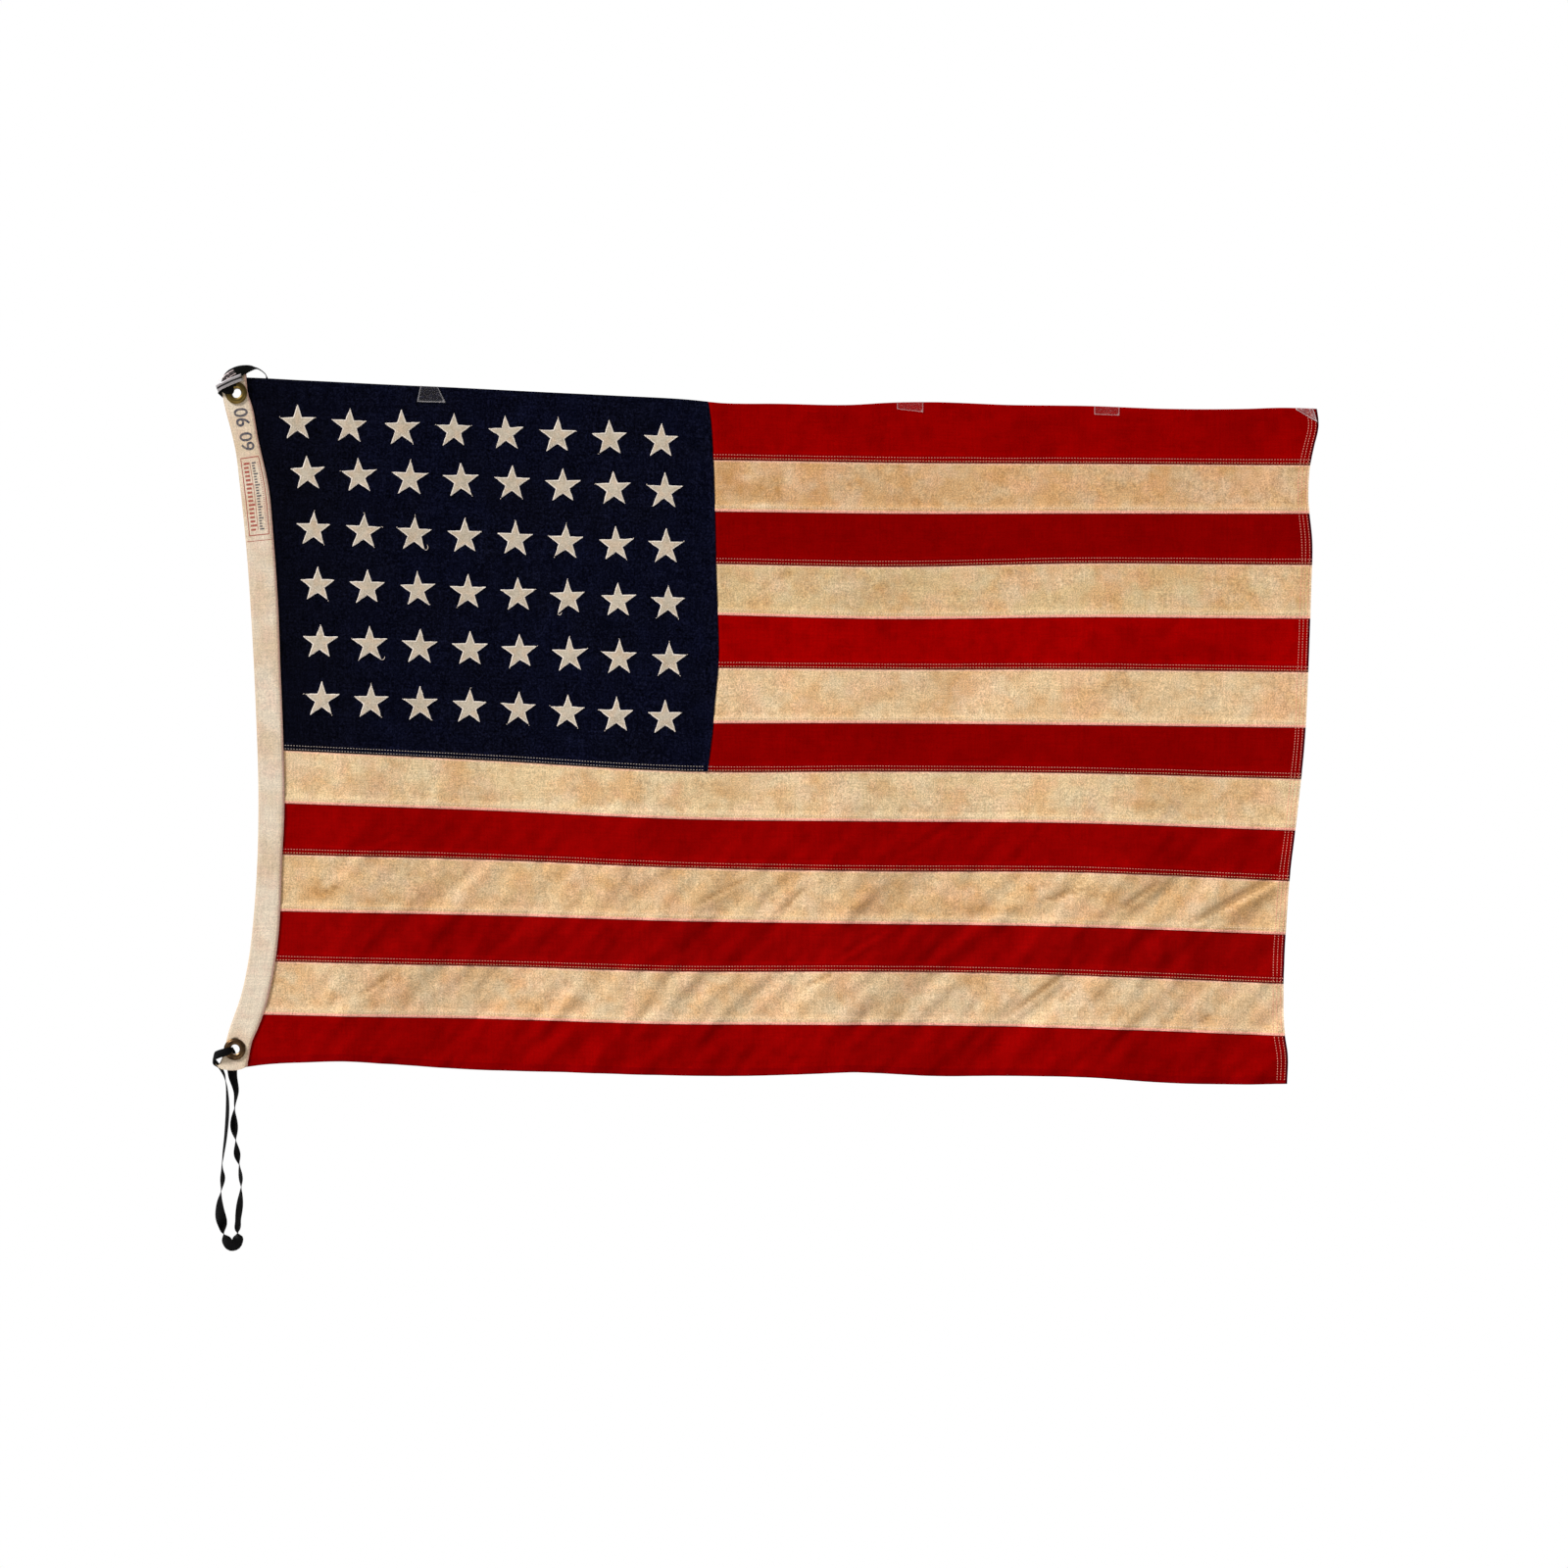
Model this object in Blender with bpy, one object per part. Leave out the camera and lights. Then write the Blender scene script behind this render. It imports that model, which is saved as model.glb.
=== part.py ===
"""A hung flag: thirteen sewn stripes, a starred canton, a canvas heading, two eyelets and ribbon ties.

The cloth hangs in the XZ plane with its front towards -Y and its hoist at -X.
The origin is the middle of the top edge. Sizes are in millimetres, and a vertex
turns them to metres. A depth is a distance towards the viewer, along -Y.
"""

import math
import random

import bmesh
import bpy
import numpy as np
from mathutils import Vector
from mathutils.geometry import delaunay_2d_cdt

MM = 0.001

# Cloth thicknesses and seams
CLOTH = 1.2  # thickness of a panel
LAYER = 1.0  # thickness of each of the two layers in a seam
GAP = 0.3  # clearance between neighbouring pieces
FELL = 6.2  # height of the upper panel's margin, which is sewn down over the lower panel
TONGUE = 5.7  # how far the lower panel runs up behind that margin
STEP = 0.8  # height over which a face steps out to a margin
HEM = 10.5  # width of the turned hem along the fly
HEM_BACK = 0.6  # extra thickness of the hem on the back
STRIPES = 13
CANTON_STRIPES = 7  # the canton's lower edge is on the seam below the seventh stripe
COLUMNS = 31  # stations along the whole fly
STATION_CLEAR = 13.0  # least distance of a station from a panel's own edge
STATION_LEVEL = -150.0  # height at which that distance is taken
MIDDLE_ROW = 0.45  # share of a stripe's height at its middle row
LEDGE_BACK = 0.45  # how far the ledge under a seam's back layer is below the seam
HEM_STEP = 1.0  # width over which the back steps out to the hem

# Heading
HEADING_HALF = 2.25  # half of the folded canvas's thickness
SLOT_HALF = 1.45  # half of the slot that takes the field's edge
SLOT_DEEP = 5.0
FIELD_IN = 4.0  # how far the field's edge runs into the slot
FOLD_ROUND = 0.9  # rounding of the folded outer edge
HEADING_TOP = (22.5, 26.5)  # heights of the outer and inner upper corners
HEADING_LOW = (-579.0, -581.5)  # heights of the outer and inner lower corners
FOOT_FROM = 0.96  # share of the height below which the end takes its own curve
HEADING_ROWS = 27
CUTTER_REACH = 8.0  # half length of a hole's cutter

# Eyelets
BORE = 4.2  # radius of the open hole
BARREL = 5.0  # outer radius of the barrel
FLANGE = 9.6  # outer radius of the front flange
WASHER = 9.2  # outer radius of the back washer
WASHER_THICK = 0.9
EYELET_SIDES = 20
# The front flange and the rolled back end, as (radius, rise) points
FLANGE_RISE = ((FLANGE - 0.1, 0.0), (FLANGE, 0.4), (8.6, 1.3), (7.8, 1.5), (6.0, 1.5),
               (BORE + 0.5, 1.0), (BORE, 0.3))
ROLL_RISE = ((BORE, 0.2), (BARREL + 0.5, 0.8), (BARREL + 1.6, 0.4), (BARREL + 1.6, 0.0), (BARREL, 0.0))
WASHER_EDGE = 0.4  # rounding of the washer's rim
UPPER_EYELET = (-467.4, 9.2)
LOWER_EYELET = (-468.7, -566.3)

# Stars
STAR_RADIUS = 16.5
STAR_WAIST = 0.39  # inner radius as a share of the outer one
STAR_RAISE = 0.45
STAR_ROWS = (0.117, 0.251, 0.401, 0.551, 0.704, 0.859)  # shares of the canton's height
STAR_COLUMNS = 8
FIRST_STAR = 0.092  # share of the canton's width at the first star
STAR_PITCH = 0.1136
STAR_TILT = 2.5  # largest tilt of a star, in degrees
CANTON_MIDDLE = (-250.0, -150.0)
FLAT_TOLERANCE = 1e-5  # points nearer than this are one point
SIDE_LEVELS = (0.14, 0.28, 0.42, 0.56, 0.7, 0.84)  # stations down the canton's sides

# Ribbon
RIBBON_THICK = 0.6
RIBBON_STEP = 6.0

# Outline, as (place, height) or (height, place) points read off the hung cloth
TOP_EDGE = [(-486, 23.5), (-458, 23), (-408, 20.5), (-340, 17), (-271, 14), (-202, 10.5), (-133, 7),
            (-70, 3.5), (-40, 0.5), (-18, 0), (0, 0), (73, -1), (107, 1), (142, 1.5), (211, -1),
            (279, -2), (348, -4.5), (417, -4.5), (451, -3.5), (483, -4.5)]
LOWER_EDGE = [(-462, -582.5), (-443, -580), (-408, -578), (-374, -577), (-340, -579), (-271, -584),
              (-168, -587), (-99, -589), (-30, -590), (39, -588), (73, -586.5), (107, -588),
              (142, -590), (211, -590), (279, -591), (348, -596), (417, -597.5), (456, -597)]
HEADING_OUTER = [(24, -480), (9, -480), (-4, -477.5), (-21, -473), (-38, -469), (-72, -464.5),
                 (-124, -459), (-193, -454), (-261, -450.5), (-347, -448), (-399, -449),
                 (-451, -452.5), (-485, -456.5), (-519, -463.5), (-548, -473.5), (-562, -478),
                 (-572, -483.5), (-579, -486)]
HOIST_EDGE = [(26, -459), (8, -457), (-1, -454), (-30, -448.5), (-74, -439), (-115, -435), (-178, -430.5),
              (-230, -428.5), (-293, -426), (-355, -425), (-408, -427.5), (-439, -428.5), (-487, -433),
              (-530, -442), (-549, -449), (-560, -454), (-570, -457), (-582, -458)]
FLY_EDGE = [(0, 480), (-20, 482), (-38, 478), (-55, 474.5), (-80, 473), (-124, 476.5), (-158, 475.5),
            (-227, 473), (-296, 469.5), (-365, 462.5), (-433, 455), (-468, 453), (-519, 451.5),
            (-554, 452.5), (-571, 455), (-600, 454.5)]
CANTON_EDGE = [(8, -55), (-2, -53), (-48, -49), (-96, -47.5), (-140, -46.5), (-186, -45), (-230, -44.5),
               (-263, -47.5), (-282, -49), (-323, -54)]
HEADING_FOOT = [(-486, -579), (-483, -582.5), (-477, -584.5), (-470, -585), (-463.5, -584), (-458, -581.5)]

# Seam heights below the top edge, at each of these places along the fly
SEAM_PLACES = (-417, -245, -73, 99, 271, 443)
SEAM_HEIGHTS = {
    1: (-49, -49, -49, -51.5, -52.5, -53.5),
    2: (-94.5, -94.5, -94.5, -96.5, -96.5, -96.5),
    3: (-140, -140, -140, -143, -140, -141),
    4: (-185, -185, -185, -189, -187.5, -188.5),
    5: (-231.5, -231.5, -231.5, -233, -233, -235),
    6: (-280.5, -280.5, -280.5, -280.5, -282, -284),
    7: (-304.5, -313, -322.5, -322.5, -324, -328.5),
    8: (-351, -357, -364.5, -366.5, -368, -374),
    9: (-395.5, -400, -407, -410, -411, -418),
    10: (-445.5, -449, -454, -456.5, -459, -465.5),
    11: (-489.5, -493.5, -498, -498, -501.5, -508.5),
    12: (-536.5, -540, -544.5, -545, -548, -554.5),
}

# Soft folds: place at the top, place at the foot, half width, rise towards the viewer
FLUTES = (
    (-350, -374, 52, 4.0),
    (-215, -245, 70, -2.5),
    (-95, -120, 60, 3.0),
    (45, 72, 48, 4.5),
    (165, 185, 60, -2.0),
    (300, 280, 62, 3.5),
    (405, 400, 50, -1.5),
)
FLUTE_AT_TOP = 0.3  # share of a flute's rise that is left at the top edge
CLOTH_DROP = 590.0
CALM = 70.0  # distance from the heading over which the folds grow

# Drag folds that rise to the right: foot (x, z), head (x, z), half width, rise
DRAG_FOLDS = (
    ((-372, -546), (-285, -470), 19, 1.8),
    ((-290, -560), (-180, -478), 22, -1.6),
    ((-110, -470), (0, -385), 21, 1.7),
    ((20, -560), (130, -465), 22, 1.9),
    ((190, -560), (285, -478), 20, -1.8),
    ((235, -470), (345, -395), 19, 1.8),
    ((330, -480), (452, -415), 20, 2.2),
    ((120, -350), (230, -255), 24, 1.5),
)
DRAG_END = 0.25  # share of a drag fold's length over which each end fades
HEADING_BOW = 3.0  # how far the heading bows forward between its eyelets
BOW_TOP = -12.0
BOW_FOOT = -545.0

# Tape pieces folded over the top edge: place of the left and right end at the edge, how much
# wider each end is below, how far each end reaches down, and the cloth's thickness behind
TAPES = {
    "tape_canton": ((-306, -291), (-3, 7), (14, 14), CLOTH / 2),
    "tape_middle": ((112, 135), (0, 0), (6, 9), CLOTH / 2),
    "tape_fly": ((285, 307), (0, 0), (7.5, 7.5), CLOTH / 2),
    "tape_corner": ((462, 477), (0, 4), (1.5, 12), CLOTH / 2 + HEM_BACK),
}
TAPE_THICK = 0.5
TAPE_BACK = 8.0
TAPE_CLEAR = 0.45
# The strip over the upper ribbon: x, depth and z of its middle, from its turned-back outer end
HOIST_TAPE = ((-485.5, 1.0, 12.5), (-484.2, 4.6, 13.2), (-480.0, 6.2, 15.2), (-471.0, 6.6, 19.2),
              (-463.0, 6.0, 22.2))
HOIST_TAPE_HALF = 3.6
HOIST_TAPE_LEAN = (-0.37, 0.93)  # direction of its width in X and Z

# Colours and roughnesses
RED = (0.27, 0.004, 0.004)
WHITE = (0.66, 0.46, 0.27)
NAVY = (0.005, 0.006, 0.014)
CANVAS = (0.68, 0.55, 0.41)
BRASS = (0.20, 0.13, 0.05)
BLACK = (0.006, 0.006, 0.007)
CLEAR = (0.8, 0.8, 0.78)
CLOTH_ROUGH = 0.9
RIBBON_ROUGH = 0.6
BRASS_ROUGH = 0.35
TAPE_ROUGH = 0.2
BRASS_METALLIC = 0.9

# Lower ribbon loop, front of the eyelet to its back: x, depth, z, the width's turn about Z
# from +X towards the viewer, its lean up from level, and its drawn width
LOWER_RIBBON = [
    (-471.5, 1.0, -566.5, 0, 90, 4.0),
    (-471.5, 3.6, -566.7, 0, 90, 4.2),
    (-474.0, 5.1, -567.8, 0, 90, 6.2),
    (-483.0, 4.2, -570.6, 0, 80, 7.0),
    (-487.3, 1.2, -573.0, -60, 70, 8.0),
    (-487.8, -2.4, -577.0, -90, 45, 9.0),
    (-484.0, -4.6, -581.5, -90, 15, 9.5),
    (-480.3, -4.4, -587.0, -84, 0, 9.5),
    (-477.6, -3.6, -595.0, -78, 0, 9.5),
    (-476.3, -3.2, -607.0, -88, 0, 9.5),
    (-477.6, -3.0, -642.0, -110, 0, 9.5),
    (-479.8, -3.0, -659.5, -106, 0, 9.5),
    (-480.8, -3.0, -671.0, -92, 0, 9.5),
    (-480.3, -3.0, -680.5, -72, 0, 9.5),
    (-481.2, -3.0, -689.5, -92, 0, 9.5),
    (-482.7, -3.0, -700.5, -128, 0, 9.5),
    (-482.3, -3.0, -711.5, -168, 0, 9.5),
    (-480.2, -3.0, -721.0, -222, 0, 9.5),
    (-479.5, -3.0, -728.0, -270, 0, 9.5),
    (-476.8, -2.4, -734.0, -340, 25, 9.5),
    (-472.6, -2.0, -739.0, -360, 62, 9.5),
    (-468.4, -2.0, -738.0, -360, 112, 9.5),
    (-466.6, -2.4, -733.0, -360, 150, 9.5),
    (-466.9, -3.0, -727.5, -270, 178, 9.5),
    (-466.4, -3.0, -716.0, -246, 180, 9.5),
    (-465.0, -3.0, -703.0, -241, 180, 9.5),
    (-464.1, -3.0, -691.0, -268, 180, 9.5),
    (-464.1, -3.0, -680.0, -300, 180, 9.5),
    (-465.4, -3.0, -669.0, -282, 180, 9.5),
    (-467.2, -3.0, -659.5, -242, 180, 9.5),
    (-468.4, -3.0, -649.0, -270, 180, 9.5),
    (-469.9, -3.0, -636.0, -322, 180, 9.5),
    (-469.4, -3.2, -616.0, -272, 180, 9.5),
    (-468.2, -3.6, -605.0, -252, 180, 9.5),
    (-471.6, -4.8, -589.0, -222, 180, 9.5),
    (-472.2, -6.2, -577.5, -190, 180, 8.0),
    (-471.5, -6.4, -571.5, -180, 135, 5.0),
    (-471.3, -5.7, -567.4, -180, 92, 4.0),
    (-471.5, -1.4, -566.5, -180, 90, 4.0),
]

# Upper ribbon, gathered over the heading's corner and back behind it: the same six values
UPPER_RIBBON = [
    (-470.1, 0.5, 10.3, 0, 68, 4.0),
    (-470.2, 3.6, 10.4, 0, 64, 4.4),
    (-472.4, 5.3, 13.4, 0, 35, 8.6),
    (-473.6, 5.2, 18.0, 0, 10, 11.0),
    (-471.8, 4.9, 23.4, 0, -12, 11.5),
    (-466.8, 4.3, 27.2, 0, -62, 10.0),
    (-460.6, 3.8, 29.4, 0, -80, 8.4),
    (-454.8, 2.6, 31.0, 30, -62, 5.6),
    (-450.0, 1.2, 31.2, 84, -20, 5.2),
    (-445.6, -1.6, 29.0, 88, -8, 5.4),
    (-442.0, -4.8, 25.0, 80, -10, 6.0),
    (-441.4, -7.0, 20.5, 40, -38, 7.0),
    (-446.5, -7.6, 17.8, 10, -66, 8.0),
    (-457.0, -7.6, 18.0, 0, -88, 8.5),
    (-468.0, -7.4, 18.6, 0, -84, 8.5),
    (-475.5, -6.6, 14.4, 0, -52, 8.5),
    (-482.2, -4.4, 7.4, 0, -43, 7.0),
]


class Line:
    """A smooth line through hand-placed (place, value) points."""

    def __init__(self, points):
        ordered = sorted(points)
        self.places = np.array([p for p, _ in ordered], float)
        self.values = np.array([v for _, v in ordered], float)
        self.slopes = np.gradient(self.values, self.places)

    def at(self, place):
        low = int(np.clip(np.searchsorted(self.places, place) - 1, 0, len(self.places) - 2))
        span = self.places[low + 1] - self.places[low]
        t = (place - self.places[low]) / span
        if t < 0.0:
            return float(self.values[low] + self.slopes[low] * span * t)
        if t > 1.0:
            return float(self.values[low + 1] + self.slopes[low + 1] * span * (t - 1.0))
        a, b = self.values[low], self.values[low + 1]
        m, n = self.slopes[low] * span, self.slopes[low + 1] * span
        rise = (2 * t**3 - 3 * t**2 + 1) * a + (t**3 - 2 * t**2 + t) * m
        return float(rise + (3 * t**2 - 2 * t**3) * b + (t**3 - t**2) * n)


HEADING_OUTER_LINE = Line(HEADING_OUTER)
HOIST_LINE = Line(HOIST_EDGE)
FLY_LINE = Line(FLY_EDGE)
CANTON_LINE = Line(CANTON_EDGE)
FOOT_LINE = Line(HEADING_FOOT)
SEAMS = {k: Line(zip(SEAM_PLACES, heights)) for k, heights in SEAM_HEIGHTS.items()}
SEAMS[0] = Line(TOP_EDGE)
SEAMS[STRIPES] = Line(LOWER_EDGE)


def ease(t):
    """A smooth step from 0 to 1."""
    t = min(max(t, 0.0), 1.0)
    return t * t * (3.0 - 2.0 * t)


def flute_depth(x, z):
    """Soft upright folds, which deepen towards the foot."""
    fall = min(max(-z / CLOTH_DROP, 0.0), 1.0)
    strength = FLUTE_AT_TOP + (1.0 - FLUTE_AT_TOP) * ease(fall)
    total = 0.0
    for top, foot, half, rise in FLUTES:
        off = (x - top - (foot - top) * fall) / half
        total += rise * strength * math.exp(-off * off)
    return total


def drag_depth(x, z):
    """Slanting folds, each a soft ridge or trough that fades at both ends."""
    total = 0.0
    for (x0, z0), (x1, z1), half, rise in DRAG_FOLDS:
        length = math.hypot(x1 - x0, z1 - z0)
        ax, az = (x1 - x0) / length, (z1 - z0) / length
        along = ((x - x0) * ax + (z - z0) * az) / length
        across = ((x - x0) * az - (z - z0) * ax) / half
        ends = ease(along / DRAG_END + 0.5) * ease((1.0 - along) / DRAG_END + 0.5)
        total += rise * ends * math.exp(-across * across)
    return total


def cloth_depth(x, z):
    """How far the cloth's middle stands towards the viewer at a place."""
    bow = math.sin(math.pi * min(max((BOW_TOP - z) / (BOW_TOP - BOW_FOOT), 0.0), 1.0))
    free = ease((x - HOIST_LINE.at(z)) / CALM)
    return HEADING_BOW * bow * bow + free * (flute_depth(x, z) + drag_depth(x, z))


def vertex(x, z, depth):
    """A point of the hung cloth, at a depth from the cloth's middle."""
    return Vector((x, -(cloth_depth(x, z) + depth), z)) * MM


def finish_mesh(name, mesh, colour, roughness, metallic=0.0):
    """Make the object of a mesh, with its own material."""
    mesh.validate()
    obj = bpy.data.objects.new(name, mesh)
    bpy.context.scene.collection.objects.link(obj)
    material = bpy.data.materials.new(name)
    material.use_nodes = True
    shader = material.node_tree.nodes["Principled BSDF"]
    shader.inputs["Base Color"].default_value = (*colour, 1.0)
    shader.inputs["Roughness"].default_value = roughness
    shader.inputs["Metallic"].default_value = metallic
    mesh.materials.append(material)
    return obj


def mesh_of(name, vertices, faces):
    """A mesh of these faces, with vertices at the same place joined."""
    mesh = bpy.data.meshes.new(name)
    mesh.from_pydata([tuple(v) for v in vertices], [], faces)
    joined = bmesh.new()
    joined.from_mesh(mesh)
    bmesh.ops.remove_doubles(joined, verts=joined.verts, dist=1e-7)
    bmesh.ops.recalc_face_normals(joined, faces=joined.faces)
    joined.to_mesh(mesh)
    joined.free()
    return mesh


def grid_faces(columns, start, flip):
    """Triangles over a grid of columns by rows, all split from upper left to lower right."""
    faces = []
    rows = len(columns[0])
    for c in range(len(columns) - 1):
        for r in range(rows - 1):
            left, right = start + c * rows + r, start + (c + 1) * rows + r
            pair = [(left, left + 1, right + 1), (left, right + 1, right)]
            faces += [tuple(reversed(f)) for f in pair] if flip else pair
    return faces


def panel_faces(front, back):
    """Vertices and faces of a panel from its front and back grids, closed all round."""
    columns, rows, back_rows = len(front), len(front[0]), len(back[0])
    vertices = [v for column in front for v in column] + [v for column in back for v in column]
    base = columns * rows
    faces = grid_faces(front, 0, False) + grid_faces(back, base, True)
    for c in range(columns - 1):
        upper = (c * rows, (c + 1) * rows, base + (c + 1) * back_rows, base + c * back_rows)
        foot = (upper[1] + rows - 1, upper[0] + rows - 1, upper[3] + back_rows - 1, upper[2] + back_rows - 1)
        faces += [upper, foot]
    last = base + (columns - 1) * back_rows
    left = [base + r for r in range(back_rows)] + [r for r in reversed(range(rows))]
    right = [(columns - 1) * rows + r for r in range(rows)] + [last + r for r in reversed(range(back_rows))]
    return vertices, faces + [tuple(left), tuple(right)]


def share_column(share):
    """A station at a share of the fly, from the hoist."""
    return lambda z: HOIST_LINE.at(z) + share * (FLY_LINE.at(z) - HOIST_LINE.at(z))


def edge_column(line, offset):
    """A station at a set distance from an edge."""
    return lambda z: line.at(z) + offset


def stations(left, right):
    """The stations of a panel between its left and right edge columns."""
    x0, x1 = left(STATION_LEVEL) + STATION_CLEAR, right(STATION_LEVEL) - STATION_CLEAR
    inner = [share_column(i / COLUMNS) for i in range(COLUMNS + 1)]
    return [left] + [c for c in inner if x0 < c(STATION_LEVEL) < x1] + [right]


def row_point(column, seam, offset, share=0.0, far_seam=None):
    """Where a row of a panel crosses a station: an offset from a seam, or a share of the way to the next."""
    x = column(seam.at(0.0) + offset)
    for _ in range(2):
        z = seam.at(x) + offset
        if far_seam is not None:
            z += share * (far_seam.at(x) - seam.at(x))
        x = column(z)
    return x, z


def stripe_rows(number, sign):
    """A stripe's rows on its front (sign 1) or back (sign -1): which seam, offset, share and depth."""
    body = sign * CLOTH / 2
    top, foot = number - 1, number
    inner, outer = GAP / 2, GAP / 2 + LAYER
    rows = []
    if number == 1:
        rows.append((top, 0.0, 0.0, body))
    else:
        under = -inner if sign > 0 else -outer
        level = -GAP if sign > 0 else -LEDGE_BACK
        rows += [(top, TONGUE, 0.0, under), (top, level, 0.0, under), (top, level - STEP / 2, 0.0, body)]
    rows.append((top, 0.0, MIDDLE_ROW, body))
    if number == STRIPES:
        rows.append((foot, 0.0, 0.0, body))
    else:
        over = outer if sign > 0 else inner
        rows += [(foot, FELL + STEP, 0.0, body), (foot, FELL, 0.0, over), (foot, 0.0, 0.0, over)]
    return rows


def stripe_grid(number, columns, sign):
    """The grid of a stripe's front or back."""
    rows = stripe_rows(number, sign)
    grid = []
    for column in columns:
        line = []
        for seam, offset, share, depth in rows:
            far = SEAMS[number] if share else None
            x, z = row_point(column, SEAMS[seam], offset, share, far)
            hemmed = sign < 0 and FLY_LINE.at(z) - x < HEM + HEM_STEP / 2 and abs(depth) == CLOTH / 2
            line.append(vertex(x, z, depth - HEM_BACK if hemmed else depth))
        grid.append(line)
    return grid


def make_stripe(number):
    """One stripe, from the canton or the heading to the fly."""
    if number <= CANTON_STRIPES:
        left = edge_column(CANTON_LINE, GAP / 2)
    else:
        left = edge_column(HOIST_LINE, -FIELD_IN)
    columns = stations(left, edge_column(FLY_LINE, -HEM - HEM_STEP))
    columns += [edge_column(FLY_LINE, -HEM), edge_column(FLY_LINE, 0.0)]
    vertices, faces = panel_faces(stripe_grid(number, columns, 1), stripe_grid(number, columns, -1))
    name = f"stripe_{number:02d}"
    return finish_mesh(name, mesh_of(name, vertices, faces), RED if number % 2 else WHITE, CLOTH_ROUGH)


def star_centres():
    """The stars' places and tilts: x, z and radians."""
    tilts = random.Random(48)
    places = []
    for row in STAR_ROWS:
        for column in range(STAR_COLUMNS):
            share = FIRST_STAR + STAR_PITCH * column
            x, z = CANTON_MIDDLE
            for _ in range(4):
                x = HOIST_LINE.at(z) + share * (CANTON_LINE.at(z) - HOIST_LINE.at(z))
                z = SEAMS[0].at(x) + row * (SEAMS[CANTON_STRIPES].at(x) - SEAMS[0].at(x))
            places.append((x, z, math.radians(tilts.uniform(-STAR_TILT, STAR_TILT))))
    return places


def star_outline(x, z, tilt):
    """The ten corners of a star, anticlockwise from its top point."""
    corners = []
    for i in range(10):
        radius = STAR_RADIUS * (STAR_WAIST if i % 2 else 1.0)
        angle = math.pi / 2 + tilt + i * math.pi / 5
        corners.append((x + radius * math.cos(angle), z + radius * math.sin(angle)))
    return corners


def canton_outline(columns, foot_offset):
    """The canton's outline above its lower margin, anticlockwise from its upper left corner."""
    sides = []
    for column in (columns[0], columns[-1]):
        sides.append([row_point(column, SEAMS[0], 0.0, s, SEAMS[CANTON_STRIPES]) for s in SIDE_LEVELS])
    top = [row_point(column, SEAMS[0], 0.0) for column in columns]
    foot = [row_point(column, SEAMS[CANTON_STRIPES], foot_offset) for column in columns]
    return [top[0]] + sides[0] + foot + sides[1][::-1] + top[:0:-1]


def canton_plan(columns):
    """Flat triangles of the canton above its margin, and which of them lie on a star."""
    points = canton_outline(columns, FELL + STEP)
    rim = len(points)
    edges = [(i, (i + 1) % rim) for i in range(rim)]
    stars = star_centres()
    for x, z, tilt in stars:
        base = len(points)
        points += star_outline(x, z, tilt)
        edges += [(base + i, base + (i + 1) % 10) for i in range(10)]
    for row in range(len(STAR_ROWS) - 1):
        for column in range(STAR_COLUMNS - 1):
            near = row * STAR_COLUMNS + column
            around = [stars[i] for i in (near, near + 1, near + STAR_COLUMNS, near + STAR_COLUMNS + 1)]
            points.append((sum(s[0] for s in around) / 4, sum(s[1] for s in around) / 4))
    flat = [Vector(p) for p in points]
    _, _, triangles, origin, _, _ = delaunay_2d_cdt(flat, edges, [], 1, FLAT_TOLERANCE)
    triangles = [[origin[i][0] for i in triangle] for triangle in triangles]
    on_star = []
    for a, b, c in triangles:
        middle = (flat[a] + flat[b] + flat[c]) / 3
        nearest = min(range(len(stars)), key=lambda i: (middle - Vector(stars[i][:2])).length)
        on_star.append(inside(middle, star_outline(*stars[nearest])))
    return flat, triangles, on_star, rim


def inside(point, outline):
    """Whether a flat point lies inside an outline."""
    hit = False
    for (x0, z0), (x1, z1) in zip(outline, outline[1:] + outline[:1]):
        if (z0 > point.y) != (z1 > point.y) and point.x < x0 + (point.y - z0) * (x1 - x0) / (z1 - z0):
            hit = not hit
    return hit


def make_canton():
    """The blue canton, with its stars raised on both faces and its lower margin over the stripe below."""
    left, right = edge_column(HOIST_LINE, -FIELD_IN), edge_column(CANTON_LINE, -GAP / 2)
    columns = stations(left, right)
    flat, triangles, on_star, rim = canton_plan(columns)
    vertices, faces = [], []
    for sign in (1, -1):
        ground, raised = len(vertices), len(vertices) + len(flat)
        vertices += [vertex(p.x, p.y, sign * CLOTH / 2) for p in flat]
        vertices += [vertex(p.x, p.y, sign * (CLOTH / 2 + STAR_RAISE)) for p in flat]
        sides = set()
        for (a, b, c), starred in zip(triangles, on_star):
            level = raised if starred else ground
            face = (level + a, level + b, level + c)
            faces.append(face if sign > 0 else face[::-1])
            if starred:
                sides ^= {(a, b), (b, c), (c, a)}
        for a, b in [s for s in sides if (s[1], s[0]) not in sides]:
            wall = (ground + a, ground + b, raised + b, raised + a)
            faces.append(wall if sign > 0 else wall[::-1])
    faces += rim_faces(rim, 2 * len(flat), len(columns))
    margin_vertices, margin = margin_faces(columns)
    faces += [tuple(i + len(vertices) for i in face) for face in margin]
    return finish_mesh("canton", mesh_of("canton", vertices + margin_vertices, faces), NAVY, CLOTH_ROUGH)


def rim_faces(rim, back_start, columns):
    """The canton's edge faces, all but the foot, where the margin joins on."""
    foot_start = 1 + len(SIDE_LEVELS)
    faces = []
    for a in range(rim):
        b = (a + 1) % rim
        if not foot_start <= a < foot_start + columns - 1:
            faces.append((b, a, back_start + a, back_start + b))
    return faces


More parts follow.
